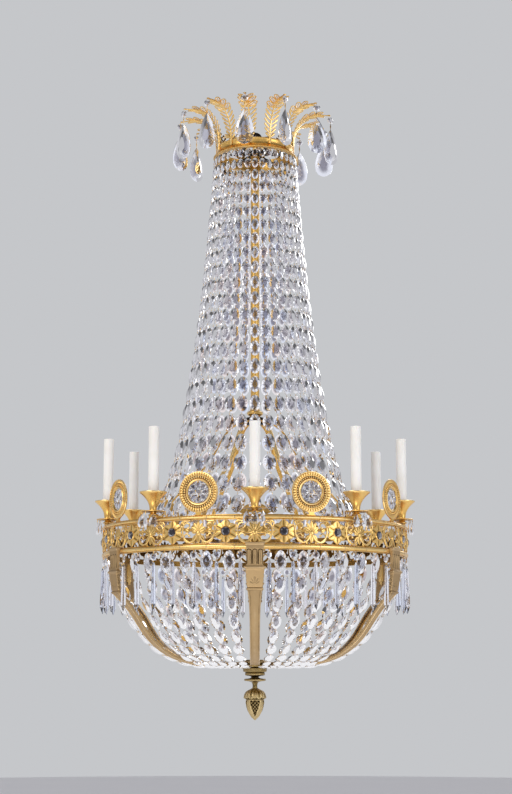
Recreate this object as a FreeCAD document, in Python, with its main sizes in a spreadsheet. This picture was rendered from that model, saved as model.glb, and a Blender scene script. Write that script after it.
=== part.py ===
"""Empire chandelier: a tent and a basket of cut-glass strands on a gilt gallery.

Millimetres and degrees. +Z is up and the origin is the middle of the suspension
eye. Angles run about Z from the front, which faces -Y, towards +X.
"""
import FreeCAD
import Part
import math
import os

Vector = FreeCAD.Vector

# name, value, meaning: every size that the pieces are driven by
SIZES = (
    ("gallery_level", -1050.0, "middle of the gallery's lower moulding"),
    ("gallery_radius", 369.0, "outside of both mouldings"),
    ("moulding_depth", 12.0, "radial depth of a moulding"),
    ("lower_moulding_height", 13.0, "lower moulding"),
    ("upper_moulding_height", 10.0, "upper moulding"),
    ("frieze_height", 52.5, "open height between the mouldings"),
    ("gallery_sides", 54.0, "straight lengths that the gallery is bent in"),
    ("rosette_count", 18.0, "star rosettes round the frieze"),
    ("rosette_relief", 7.0, "how far a rosette's middle stands out"),
    ("spray_half_width", 37.0, "half width of a palmette spray"),
    ("stone_size", 17.0, "square-set stone in a rosette"),
    ("light_count", 9.0, "candles round the gallery"),
    ("light_radius", 357.0, "circle of the candles"),
    ("bridge_width", 14.0, "flat bar under each candle"),
    ("bridge_thickness", 6.0, "flat bar under each candle"),
    ("tent_ring_outer", 252.0, "flat ring that the tent hooks on"),
    ("tent_ring_inner", 228.0, "flat ring that the tent hooks on"),
    ("tent_ring_thickness", 6.0, "flat ring that the tent hooks on"),
    ("tent_ring_sides", 18.0, "straight lengths that the tent ring is bent in"),
    ("pedestal_radius", 12.0, "foot of a candle nozzle"),
    ("pedestal_height", 7.5, "foot of a candle nozzle"),
    ("collar_radius", 27.0, "drip collar of a nozzle"),
    ("collar_thickness", 2.5, "drip collar of a nozzle"),
    ("cup_rim_radius", 33.0, "trumpet cup at its rim"),
    ("cup_neck_radius", 9.5, "trumpet cup at its neck"),
    ("cup_height", 44.0, "trumpet cup"),
    ("sleeve_radius", 12.2, "white candle sleeve"),
    ("sleeve_height", 164.0, "white candle sleeve"),
    ("sleeve_seat", 29.0, "height of the sleeve's foot above the collar"),
    ("medallion_radius", 46.0, "outside of a medallion frame"),
    ("medallion_eye", 26.0, "glass of a medallion"),
    ("medallion_thickness", 6.0, "medallion frame"),
    ("medallion_rise", 52.0, "medallion's middle above the gallery's top"),
    ("leg_count", 6.0, "pilasters that carry the basket"),
    ("leg_head_width", 44.0, "head block of a pilaster"),
    ("leg_tail_width", 23.0, "pilaster at the boss"),
    ("leg_head_depth", 11.0, "head block of a pilaster"),
    ("leg_tail_depth", 6.0, "pilaster at the boss"),
    ("bay_margin", 5.0, "angle from a pilaster to the first icicle"),
    ("icicles_per_bay", 7.0, "icicles between two pilasters"),
    ("icicle_radius", 366.0, "circle of the icicles"),
    ("icicle_width", 13.0, "three-sided icicle prism"),
    ("icicle_length", 108.0, "three-sided icicle prism"),
    ("icicle_bead", 24.0, "height of the bead above an icicle"),
    ("basket_beads", 11.0, "beads on a basket strand"),
    ("basket_taper", 0.56, "last bead of a basket strand over the first"),
    ("basket_bead_width", 27.0, "widest basket bead"),
    ("tent_strands", 36.0, "strands of the tent"),
    ("tent_beads", 23.0, "beads on a tent strand"),
    ("tent_taper", 1.9, "last bead of a tent strand over the first"),
    ("tent_bead_width", 30.0, "widest tent bead"),
    ("bead_fill", 0.92, "share of a strand's spacing that a bead may fill"),
    ("bead_flatness", 0.42, "thickness of a bead over its width"),
    ("small_bead_width", 26.0, "a bead narrower than this has four faces, not six"),
    ("crown_radius", 97.0, "crown band"),
    ("crown_lip_radius", 105.0, "flared lip under the crown band"),
    ("crown_inner_radius", 92.0, "inside of the crown"),
    ("crown_top", -23.0, "top edge of the crown band"),
    ("crown_waist", -39.0, "where the lip starts to flare"),
    ("crown_foot", -50.0, "underside of the lip"),
    ("crown_sides", 24.0, "straight lengths that the crown is bent in"),
    ("plume_count", 12.0, "palm plumes of the crown"),
    ("plume_turn", -7.5, "angle of the plume nearest the front"),
    ("plume_thickness", 3.0, "cast plume"),
    ("pendant_bead_size", 19.0, "round bead over a crown drop"),
    ("pendant_link", 16.0, "wire between the bead and the drop"),
    ("pendant_drop_height", 92.0, "large pear drop"),
    ("pendant_drop_width", 46.0, "large pear drop"),
    ("pendant_drop_depth", 19.0, "large pear drop"),
    ("running_gap", 0.4, "clearance of a hanging crown pendant"),
    ("nozzle_drop_height", 36.0, "small pear drop of a nozzle"),
    ("nozzle_drop_width", 21.0, "small pear drop of a nozzle"),
    ("eye_bore", 12.0, "radius of the suspension eye's hole"),
    ("eye_radius", 19.0, "outside of the suspension eye"),
    ("eye_width", 10.0, "thickness of the suspension eye"),
    ("rod_radius", 6.0, "iron rod"),
    ("tube_radius", 11.0, "gilt tube round the rod"),
    ("tube_bore", 7.0, "bore of the gilt tube"),
    ("spider_level", -35.0, "top face of the crown spider"),
    ("spider_thickness", 5.0, "crown spider"),
    ("spider_arm_width", 10.0, "crown spider"),
    ("spider_hub_radius", 18.0, "crown spider"),
    ("spider_gap", 0.7, "play at the end of a spider arm"),
    ("knob_level", -690.0, "top of the turned knob, the rod's foot"),
    ("hub_radius", 22.0, "hub that the stays are screwed to"),
    ("hub_height", 16.0, "hub that the stays are screwed to"),
    ("hub_drop", 21.0, "hub's top below the knob's"),
    ("stay_width", 12.0, "curved iron stay"),
    ("stay_thickness", 5.0, "curved iron stay"),
    ("plate_radius", 64.0, "plate that gathers the basket"),
    ("plate_drop", 258.0, "plate's top below the gallery level"),
    ("plate_thickness", 4.0, "plate that gathers the basket"),
    ("boss_radius", 28.5, "turned boss under the plate"),
    ("turning_sides", 12.0, "facets of the turned pieces and medallions"),
    ("nozzle_sides", 10.0, "facets of the trumpet cups"),
    ("sleeve_sides", 8.0, "facets of collars and candle sleeves"),
    ("pedestal_sides", 6.0, "facets of the nozzles' feet"),
)

# how far each crown pendant, from the front one round, has turned on its hook
PENDANT_TURNS = (0.0, 22.0, -48.0, -46.0, 62.0, 14.0, 0.0, -12.0, -10.0, -45.0, 30.0, 9.0)

DOC = FreeCAD.newDocument("chandelier")
SHEET = DOC.addObject("Spreadsheet::Sheet", "dims")
for row, (alias, number, meaning) in enumerate(SIZES, start=1):
    SHEET.set("A%d" % row, alias)
    SHEET.set("B%d" % row, str(number))
    SHEET.set("C%d" % row, meaning)
    SHEET.setAlias("B%d" % row, alias)
DOC.recompute()

NODES = []


def size(alias):
    """A driving size, read from the sheet."""
    return float(SHEET.get(alias))


def count(alias):
    """A driving number of pieces, read from the sheet."""
    return int(size(alias))


def add(kind, name, **expressions):
    """A document object whose properties follow expressions of the sheet."""
    item = DOC.addObject(kind, name)
    for prop, rule in expressions.items():
        item.setExpression(prop.replace("__", "."), rule)
    return item


def node(item, name):
    """Marks an object as one of the part's nodes."""
    item.Label = name
    NODES.append(item)
    return item


def shaped_node(name, solids):
    """A node of one or more solids that are worked out from the sheet."""
    item = DOC.addObject("Part::Feature", name + "_node")
    item.Shape = solids[0] if len(solids) == 1 else Part.makeCompound(solids)
    return node(item, name)


def combined(kind, name, base, tool):
    """The cut or the union of two objects."""
    item = DOC.addObject(kind, name)
    item.Base = base
    item.Tool = tool
    return item


# ---------------------------------------------------------------- placing


def turned_about(shape, angle):
    """A copy of a front piece, carried round the axis by an angle."""
    copy = shape.copy()
    copy.rotate(Vector(0, 0, 0), Vector(0, 0, 1), angle)
    return copy


def ring_of(shape, number, first=0.0):
    """Equal copies of a front piece all the way round."""
    return [turned_about(shape, first + 360.0 * k / number) for k in range(number)]


def front(radius, level, across=0.0):
    """A point at the front, by its radius, its level and its distance across."""
    return Vector(across, -radius, level)


# ---------------------------------------------------------------- faceted solids


def solid_of(faces):
    """A solid from the point loops of its flat faces."""
    shell = Part.makeShell([Part.Face(Part.makePolygon(loop + loop[:1])) for loop in faces])
    solid = Part.makeSolid(shell)
    if solid.Volume < 0:
        solid.reverse()
    return solid


def spindle(top, belt, bottom):
    """A bead: a belt of points with a tip above and a tip below."""
    if len(belt) == 2:
        left, right = belt
        return solid_of([[top, left, right], [bottom, right, left],
                         [top, right, bottom], [top, bottom, left]])
    faces = []
    for here, there in zip(belt, belt[1:] + belt[:1]):
        faces.append([top, here, there])
        faces.append([bottom, there, here])
    return solid_of(faces)


def star_button(rim, middle):
    """A flat-backed relief: a rim of points with one raised point over them."""
    faces = [[here, there, middle] for here, there in zip(rim, rim[1:] + rim[:1])]
    return solid_of(faces + [rim[::-1]])


def strip(sections):
    """A bent bar through four-cornered sections, in triangles because it twists."""
    faces = [sections[0][::-1], sections[-1]]
    for first, second in zip(sections, sections[1:]):
        for k in range(4):
            n = (k + 1) % 4
            faces.append([first[k], first[n], second[n]])
            faces.append([first[k], second[n], second[k]])
    return solid_of(faces)


def flat_section(radius, level, slope, width, depth):
    """A bar's section, across the front and square to a slope in the RZ plane."""
    out = depth / 2.0 * math.cos(slope)
    rise = depth / 2.0 * math.sin(slope)
    half = width / 2.0
    return [
        front(radius + out, level + rise, -half),
        front(radius + out, level + rise, half),
        front(radius - out, level - rise, half),
        front(radius - out, level - rise, -half),
    ]


def faceted_turning(stations, sides, across=Vector(0, 0, 0)):
    """A turned piece with flat facets, from its radii and levels."""
    rings = []
    for radius, level in stations:
        rings.append([
            across + Vector(
                radius * math.cos(2 * math.pi * k / sides),
                radius * math.sin(2 * math.pi * k / sides),
                level,
            )
            for k in range(sides)
        ])
    faces = [rings[0][::-1], rings[-1]]
    for lower, upper in zip(rings, rings[1:]):
        for k in range(sides):
            n = (k + 1) % sides
            faces.append([lower[k], lower[n], upper[n], upper[k]])
    return solid_of(faces)


# ---------------------------------------------------------------- strands


def profile_curve(points):
    """A smooth curve through points of radius and level, as an edge."""
    curve = Part.BSplineCurve()
    curve.interpolate([Vector(radius, 0, level) for radius, level in points])
    return curve.toShape()


def tent_curve():
    """Middle line of a tent strand, from the crown's lip to the tent ring."""
    foot = gallery_top() + size("bridge_thickness") + size("tent_ring_thickness")
    return profile_curve((
        (101.0, size("crown_foot")),
        (117.0, -250.0),
        (137.0, -450.0),
        (164.0, -650.0),
        (196.0, -815.0),
        (246.0, foot),
    ))


def basket_curve():
    """Middle line of a basket strand, from the lower moulding to the plate."""
    level = size("gallery_level")
    return profile_curve((
        (359.0, level - size("lower_moulding_height") / 2.0),
        (347.0, level - 70.0),
        (318.0, level - 127.0),
        (280.0, level - 183.0),
        (236.0, level - 226.0),
        (186.0, level - 251.0),
        (125.0, level - 263.0),
        (size("plate_radius") - 4.0, level - size("plate_drop") - size("plate_thickness")),
    ))


def stations_along(edge, number, taper):
    """Points that divide a curve into lengths that grow evenly by a taper."""
    weights = [1.0 + (taper - 1.0) * k / (number - 1) for k in range(number)]
    whole = sum(weights)
    reached = 0.0
    points = [edge.valueAt(edge.FirstParameter)]
    for weight in weights:
        reached += edge.Length * weight / whole
        points.append(edge.valueAt(edge.getParameterByLength(min(reached, edge.Length))))
    return points


def strand(edge, number, taper, widest, spacing_angle):
    """The beads of one front strand, tip to tip, flat inside and ridged outside."""
    points = stations_along(edge, number, taper)
    longest = max(first.distanceToPoint(second) for first, second in zip(points, points[1:]))
    beads = []
    for first, second in zip(points, points[1:]):
        middle = (first + second) * 0.5
        room = middle.x * math.radians(spacing_angle) * size("bead_fill")
        width = min(widest * first.distanceToPoint(second) / longest, room)
        along = (second - first).normalize()
        outward = Vector(-along.z, 0, along.x)
        depth = width * size("bead_flatness")
        back = middle - outward * depth * 0.4
        ridge = middle + outward * depth * 0.6
        belt = [
            front(ridge.x, ridge.z),
            front(back.x, back.z, width / 2.0),
            front(back.x, back.z, -width / 2.0),
        ]
        if width < size("small_bead_width"):
            belt = [front(ridge.x, ridge.z, width / 2.0), front(ridge.x, ridge.z, -width / 2.0)]
        beads.append(spindle(front(first.x, first.z), belt, front(second.x, second.z)))
    return beads


def bay_angles(first, step, number):
    """Angles that repeat in each bay between two pilasters."""
    bay = 360.0 / count("leg_count")
    return [
        bay * leg + first + step * k
        for leg in range(count("leg_count"))
        for k in range(number)
    ]


def icicle_step():
    """Angle between two icicles of a bay."""
    bay = 360.0 / count("leg_count")
    return (bay - 2.0 * size("bay_margin")) / (count("icicles_per_bay") - 1)


def make_tent():
    """The strands of the tent."""
    number = count("tent_strands")
    pattern = strand(
        tent_curve(), count("tent_beads"), size("tent_taper"),
        size("tent_bead_width"), 360.0 / number,
    )
    beads = [copy for bead in pattern for copy in ring_of(bead, number)]
    shaped_node("tent_beads", beads)


def make_basket():
    """The strands of the basket, which hang between the icicles."""
    step = icicle_step()
    angles = bay_angles(size("bay_margin") + step / 2.0, step, count("icicles_per_bay") - 1)
    pattern = strand(
        basket_curve(), count("basket_beads"), size("basket_taper"),
        size("basket_bead_width"), step,
    )
    beads = [turned_about(bead, angle) for angle in angles for bead in pattern]
    shaped_node("basket_beads", beads)


def make_icicles():
    """Icicle prisms, each under a small bead, below the lower moulding."""
    radius = size("icicle_radius")
    top = size("gallery_level") - size("lower_moulding_height") / 2.0
    neck = top - size("icicle_bead")
    half = size("icicle_width") / 2.0
    belt_level = (top + neck) / 2.0
    bead = spindle(
        front(radius, top),
        [front(radius + 7.0, belt_level), front(radius - 3.0, belt_level, 8.0),
         front(radius - 3.0, belt_level, -8.0)],
        front(radius, neck),
    )
    waist = neck - size("icicle_length") + 16.0

    def triangle(level, scale):
        return [
            front(radius + half * scale, level),
            front(radius - half * scale * 0.6, level, half * scale),
            front(radius - half * scale * 0.6, level, -half * scale),
        ]

    upper = triangle(neck, 0.6)
    lower = triangle(waist, 1.0)
    foot_tip = front(radius, neck - size("icicle_length"))
    faces = []
    for k in range(3):
        n = (k + 1) % 3
        faces.append([upper[n], upper[k], lower[k]])
        faces.append([upper[n], lower[k], lower[n]])
        faces.append([foot_tip, lower[n], lower[k]])
    prism = solid_of(faces + [upper])
    angles = bay_angles(size("bay_margin"), icicle_step(), count("icicles_per_bay"))
    shaped_node("icicle_beads", [turned_about(bead, angle) for angle in angles])
    shaped_node("icicle_prisms", [turned_about(prism, angle) for angle in angles])


# ---------------------------------------------------------------- gallery


def gallery_top():
    """Level of the upper moulding's top face."""
    lower = size("gallery_level") + size("lower_moulding_height") / 2.0
    return lower + size("frieze_height") + size("upper_moulding_height")


def prism_ring(name, sides, outer, inner, height, level):
    """A many-sided ring: one prism cut by another."""
    body = add("Part::Prism", name + "_body", Polygon=sides, Circumradius=outer,
               Height=height, Placement__Base__z=level)
    hole = add("Part::Prism", name + "_hole", Polygon=sides, Circumradius=inner,
               Height=height, Placement__Base__z=level)
    return node(combined("Part::Cut", name + "_ring", body, hole), name)


def make_gallery_rings():
    """The two mouldings of the gallery and the flat ring inside it."""
    prism_ring(
        "gallery_lower_moulding", "dims.gallery_sides", "dims.gallery_radius",
        "dims.gallery_radius - dims.moulding_depth", "dims.lower_moulding_height",
        "dims.gallery_level - dims.lower_moulding_height / 2",
    )
    prism_ring(
        "gallery_upper_moulding", "dims.gallery_sides", "dims.gallery_radius",
        "dims.gallery_radius - dims.moulding_depth", "dims.upper_moulding_height",
        "dims.gallery_level + dims.lower_moulding_height / 2 + dims.frieze_height",
    )
    prism_ring(
        "tent_ring", "dims.tent_ring_sides", "dims.tent_ring_outer", "dims.tent_ring_inner",
        "dims.tent_ring_thickness",
        "dims.gallery_level + dims.lower_moulding_height / 2 + dims.frieze_height"
        " + dims.upper_moulding_height + dims.bridge_thickness",
    )


def frieze_point(angle, reach_across, reach_up, radius):
    """A point of the frieze, by its bearing round a motif's middle."""
    middle = size("gallery_level") + (size("lower_moulding_height") + size("frieze_height")) / 2.0
    across = reach_across * math.sin(math.radians(angle))
    rise = reach_up * math.cos(math.radians(angle))
    turn = across / radius
    return Vector(radius * math.sin(turn), -radius * math.cos(turn), middle + rise)


def frieze_middle(radius):
    """The middle of a motif at the front, at a given radius."""
    return frieze_point(0.0, 0.0, 0.0, radius)


def make_frieze():
    """Star rosettes with their stones, and palmette sprays between them."""
    number = count("rosette_count")
    half = size("frieze_height") / 2.0
    back = size("gallery_radius") - size("moulding_depth") * 0.35
    rim = []
    for k in range(12):
        reach = half if k % 2 == 0 else half * 0.55
        rim.append(Vector(reach * math.sin(math.radians(30 * k)), -back,
                          frieze_middle(back).z + reach * math.cos(math.radians(30 * k))))
    rosette = star_button(rim, frieze_middle(back + size("rosette_relief")))
    shaped_node("frieze_rosettes", ring_of(rosette, number, 180.0 / number))

    stone_back = back + size("rosette_relief")
    stone_half = size("stone_size") / 2.0
    level = frieze_middle(back).z
    corners = [Vector(0, -stone_back, level + stone_half), Vector(stone_half, -stone_back, level),
               Vector(0, -stone_back, level - stone_half), Vector(-stone_half, -stone_back, level)]
    stone = star_button(corners, frieze_middle(stone_back + 4.0))
    shaped_node("rosette_stones", ring_of(stone, number, 180.0 / number))

    tips = 6
    rim = []
    for k in range(2 * tips):
        share = 1.0 if k % 2 == 0 else 0.45
        bearing = 180.0 / tips * k
        across = size("spray_half_width") * share * math.sin(math.radians(bearing))
        rise = half * share * math.cos(math.radians(bearing))
        rim.append(Vector(across, -back, level + rise))
    spray = star_button(rim, frieze_middle(back + 5.0))
    shaped_node("frieze_palmettes", ring_of(spray, number))


def make_bridges():
    """Flat bars that carry the candles and join the tent ring to the gallery."""
    bar = add(
        "Part::Box", "bridge_bar",
        Length="dims.bridge_width", Width="dims.gallery_radius - dims.tent_ring_inner - 5",
        Height="dims.bridge_thickness", Placement__Base__x="-dims.bridge_width / 2",
        Placement__Base__y="-dims.gallery_radius + 4",
        Placement__Base__z="dims.gallery_level + dims.lower_moulding_height / 2"
                           " + dims.frieze_height + dims.upper_moulding_height",
    )
    DOC.recompute()
    shaped_node("gallery_bridges", ring_of(bar.Shape, count("light_count")))


# ---------------------------------------------------------------- lights


def collar_level():
    """Underside of the drip collars."""
    return gallery_top() + size("bridge_thickness") + size("pedestal_height")


def make_nozzles():
    """Pedestal, drip collar, trumpet cup and sleeve of every candle."""
    number = count("light_count")
    few = count("sleeve_sides")
    centre = front(size("light_radius"), 0.0)
    foot = gallery_top() + size("bridge_thickness")
    pedestal = faceted_turning(
        ((size("pedestal_radius"), foot), (size("cup_neck_radius"), collar_level())),
        count("pedestal_sides"), centre)
    shaped_node("nozzle_pedestals", ring_of(pedestal, number))

    base = collar_level() + size("collar_thickness")
    collar = faceted_turning(
        ((size("collar_radius"), collar_level()), (size("collar_radius") - 3.0, base)), few, centre)
    shaped_node("drip_collars", ring_of(collar, number))

    neck = size("cup_neck_radius")
    rim = size("cup_rim_radius")
    top = base + size("cup_height")
    seat = base + size("sleeve_seat")
    cup = faceted_turning(
        ((neck, base), (neck + 2.0, base + 15.0), (neck + 10.5, base + 33.0), (rim, top),
         (size("sleeve_radius") + 0.5, seat)), count("nozzle_sides"), centre)
    shaped_node("nozzle_cups", ring_of(cup, number))

    sleeve = faceted_turning(
        ((size("sleeve_radius"), seat), (size("sleeve_radius"), seat + size("sleeve_height"))),
        few, centre)
    shaped_node("candle_sleeves", ring_of(sleeve, number))


def make_nozzle_drops():
    """Small pear drops round every drip collar, three outside and two inside."""
    top = collar_level()
    widest = top - size("nozzle_drop_height") * 0.7
    foot = top - size("nozzle_drop_height")
    half = size("nozzle_drop_width") / 2.0
    reach = size("collar_radius") - 2.5
    drops = []
    for bearing, beyond in ((0.0, 0.0), (46.0, 1.0), (-46.0, 1.0), (125.0, 0.0), (-125.0, 0.0)):
        radius = size("light_radius") + reach * math.cos(math.radians(bearing)) + beyond
        across = reach * math.sin(math.radians(bearing))
        belt = [
            front(radius + 6.0, widest, across),
            front(radius - 2.0, widest, across + half * 0.87),
            front(radius - 2.0, widest, across - half * 0.87),
        ]
        drops.append(spindle(front(radius, top, across), belt, front(radius, foot, across)))
    everywhere = [copy for drop in drops for copy in ring_of(drop, count("light_count"))]
    shaped_node("nozzle_drops", everywhere)


def make_medallions():
    """Ring frames on the upper moulding, each round a cut-glass rosette."""
    sides = count("turning_sides")
    outer = size("medallion_radius")
    eye = size("medallion_eye")
    level = gallery_top() + size("medallion_rise")
    face = size("gallery_radius")
    back = face - size("medallion_thickness")

    def circle(radius, depth):
        return [
            Vector(radius * math.sin(2 * math.pi * (k + 0.5) / sides), -depth,
                   level + radius * math.cos(2 * math.pi * (k + 0.5) / sides))
            for k in range(sides)
        ]

    rings = [circle(outer, back), circle(outer, face - 2.0), circle(eye, face), circle(eye, back)]
    faces = []
    for first, second in zip(rings, rings[1:] + rings[:1]):
        for k in range(sides):
            n = (k + 1) % sides
            faces.append([first[k], first[n], second[n], second[k]])
    frame = solid_of(faces)
    foot_half = 9.0
    foot_top = level - outer * math.cos(math.pi / sides)
    foot = Part.makeBox(2 * foot_half, size("medallion_thickness") - 2.0,
                        foot_top - gallery_top(), Vector(-foot_half, -face + 2.0, gallery_top()))
    number = count("light_count")
    turn = 180.0 / number
    shaped_node("medallion_frames", ring_of(frame, number, turn))
    shaped_node("medallion_feet", ring_of(foot, number, turn))

    belt = circle(eye - 0.4, face - 4.0)[::2]
    glass = spindle_across(Vector(0, -back - 0.5, level), belt, Vector(0, -face - 3.0, level))
    shaped_node("medallion_crystals", ring_of(glass, number, turn))


def spindle_across(rear, belt, face):
    """A cut stone seen from the front: a belt with a tip behind and a tip before."""
    return spindle(face, belt, rear)


# ---------------------------------------------------------------- basket metal


def leg_sections():
    """Sections of a front pilaster: fluted head, block, and the shaft.

    The shaft starts outside the strands, passes between them and ends on the plate.
    """
    level = size("gallery_level")
    face = size("gallery_radius") * math.cos(math.pi / size("gallery_sides"))
    deep = size("leg_head_depth")
    wide = size("leg_head_width")
    middle = face + deep / 2.0
    head = (
        (middle, 8.0, wide, deep),
        (middle, -44.0, wide - 6.0, deep),
        (middle + 0.5, -45.0, wide + 5.0, deep),
        (middle + 0.5, -50.0, wide + 5.0, deep),
        (middle - 0.5, -51.0, wide - 4.0, deep),
        (middle - 6.0, -92.0, wide - 10.0, deep - 1.0),
    )
    sections = [flat_section(radius, level + drop, 0.0, width, depth)
                for radius, drop, width, depth in head]
    edge = basket_curve()
    wide_end = size("leg_head_width") - 9.0
    offsets = (11.5, 9.5, 4.0, -2.0, -7.0)
    stops = len(offsets)
    first_share = 0.31
    for k, offset in enumerate(offsets):
        share = first_share + (1.0 - first_share) * k / stops
        parameter = edge.getParameterByLength(edge.Length * share)
        point = edge.valueAt(parameter)
        along = edge.tangentAt(parameter)
        slope = math.atan2(along.x, -along.z)
        depth = size("leg_tail_depth") + 2.0 * (1.0 - share)
        width = wide_end + (size("leg_tail_width") - wide_end) * k / stops
        sections.append(flat_section(point.x + offset * math.cos(slope),
                                     point.z + offset * math.sin(slope), slope, width, depth))
    seat = level - size("plate_drop")
    half = size("leg_tail_width") / 2.0
    for radius in (size("plate_radius"), size("boss_radius")):
        sections.append([
            front(radius, seat, -half), front(radius, seat, half),
            front(radius, seat + size("leg_tail_depth"), half),
            front(radius, seat + size("leg_tail_depth"), -half),
        ])
    return sections


def make_legs():
    """The pilasters, each screwed on the gallery's face and on the boss."""
    pattern = strip(leg_sections())
    for k, leg in enumerate(ring_of(pattern, count("leg_count")), start=1):
        shaped_node("pilaster_%02d" % k, [leg])


def make_bottom():
    """Plate with its hub, boss and acorn finial under the basket."""
    top = size("gallery_level") - size("plate_drop") - size("plate_thickness")
    sides = count("turning_sides")
    wide = size("boss_radius")
    seat = top + size("plate_thickness")
    hub_top = seat + size("leg_tail_depth") + 2.0
    plate = faceted_turning((
        (size("plate_radius"), top), (size("plate_radius"), seat), (wide, seat),
        (wide, hub_top), (wide - 7.0, hub_top + 4.0),
    ), sides)
    shaped_node("basket_plate", [plate])
    boss = faceted_turning((
        (5.0, top - 53.0), (6.0, top - 37.0), (wide - 3.0, top - 34.0), (wide - 3.0, top - 28.0),
        (9.0, top - 24.0), (wide - 5.0, top - 21.0), (wide - 5.0, top - 14.0),
        (wide, top - 12.0), (wide, top - 3.0), (wide - 8.0, top),
    ), sides)
    shaped_node("basket_boss", [boss])
    cap_top = top - 53.0
    cap = faceted_turning((
        (22.5, cap_top - 24.0), (26.5, cap_top - 23.0), (26.0, cap_top - 14.0),
        (17.0, cap_top - 4.0), (6.0, cap_top),
    ), sides)
    shaped_node("acorn_cap", [cap])
    nut_top = cap_top - 24.0
    nut = faceted_turning((
        (2.0, nut_top - 49.0), (13.0, nut_top - 36.0), (20.5, nut_top - 18.0),
        (22.5, nut_top - 4.0), (21.5, nut_top),
    ), sides)
    shaped_node("acorn_nut", [nut])


# ---------------------------------------------------------------- crown and stem


def make_crown_band():
    """The crown band with its flared lip."""
    sides = count("crown_sides")
    profile = (
        (size("crown_lip_radius"), size("crown_foot")),
        (size("crown_radius"), size("crown_waist")),
        (size("crown_radius"), size("crown_top")),
        (size("crown_inner_radius"), size("crown_top")),
        (size("crown_inner_radius"), size("crown_foot")),
    )
    rings = [
        [Vector(radius * math.sin(2 * math.pi * k / sides),
                -radius * math.cos(2 * math.pi * k / sides), level) for k in range(sides)]
        for radius, level in profile
    ]
    faces = []
    for first, second in zip(rings, rings[1:] + rings[:1]):
        for k in range(sides):
            n = (k + 1) % sides
            faces.append([first[k], first[n], second[n], second[k]])
    shaped_node("crown_band", [solid_of(faces)])


def plume_stations():
    """Radius, level and width along a plume, from its foot to its curled tip."""
    flat = size("crown_radius") * math.cos(math.pi / size("crown_sides"))
    foot = flat + size("plume_thickness") / 2.0
    return (
        (foot, size("crown_waist"), 14.0),
        (foot + 1.0, -8.0, 12.0),
        (foot + 4.0, 12.0, 38.0),
        (foot + 9.0, 24.0, 22.0),
        (foot + 20.0, 43.0, 50.0),
        (foot + 33.0, 53.0, 30.0),
        (foot + 60.0, 62.0, 52.0),
        (foot + 94.0, 56.0, 7.0),
    )


def make_plumes():
    """Palm plumes screwed on the band, leaning out to carry the pendants."""
    stations = plume_stations()
    sections = []
    for k, (radius, level, width) in enumerate(stations):
        before = stations[max(k - 1, 0)]
        after = stations[min(k + 1, len(stations) - 1)]
        slope = math.atan2(before[0] - after[0], after[1] - before[1])
        sections.append(flat_section(radius, level, slope, width, size("plume_thickness")))
    plume = strip(sections)
    shaped_node("crown_plumes", ring_of(plume, count("plume_count"), size("plume_turn")))


def pendant_pivot():
    """Radius and level of the point that a crown pendant swings on."""
    radius, level, width = plume_stations()[-1]
    return radius, level - size("plume_thickness") / 2.0


def pear_drop(radius, top):
    """Flat pear drop: two belts of six points, so that its sides stay full."""
    height = size("pendant_drop_height")
    belts = []
    for level, share in ((0.42, 0.86), (0.78, 1.0)):
        wide = size("pendant_drop_width") / 2.0 * share
        deep = size("pendant_drop_depth") / 2.0 * share
        belts.append([
            front(radius + out * deep, top - height * level, across * wide)
            for out, across in ((1, 0.45), (0, 1), (-1, 0.45), (-1, -0.45), (0, -1), (1, -0.45))
        ])
    upper, lower = belts
    crest = front(radius, top)
    foot = front(radius, top - height)
    faces = []
    for k in range(len(upper)):
        n = (k + 1) % len(upper)
        faces.append([crest, upper[k], upper[n]])
        faces.append([upper[k], lower[k], lower[n], upper[n]])
        faces.append([foot, lower[n], lower[k]])
    return solid_of(faces)


def make_pendants():
    """Crown pendants: a bead, a link of wire and a large pear drop."""
    radius, level = pendant_pivot()
    top = level - size("running_gap")
    bead = size("pendant_bead_size")
    half = bead / 2.0
    button = spindle(
        front(radius, top),
        [front(radius + 5.0, top - half), front(radius, top - half, half),
         front(radius - 5.0, top - half), front(radius, top - half, -half)],
        front(radius, top - bead),
    )
    link_top = top - bead
    link_foot = link_top - size("pendant_link")
    link_belt = [front(radius + 1.2, (link_top + link_foot) / 2.0),
                 front(radius - 0.6, (link_top + link_foot) / 2.0, 1.1),
                 front(radius - 0.6, (link_top + link_foot) / 2.0, -1.1)]
    link = spindle(front(radius, link_top), link_belt, front(radius, link_foot))
    pendant = Part.makeCompound([button, link, pear_drop(radius, link_foot)])
    step = 360.0 / count("plume_count")
    for k, turn in enumerate(PENDANT_TURNS):
        copy = pendant.copy()
        copy.rotate(front(radius, 0.0), Vector(0, 0, 1), turn)
        placed = turned_about(copy, size("plume_turn") + step * k)
        shaped_node("crown_pendant_%02d" % (k + 1), placed.Solids)


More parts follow.
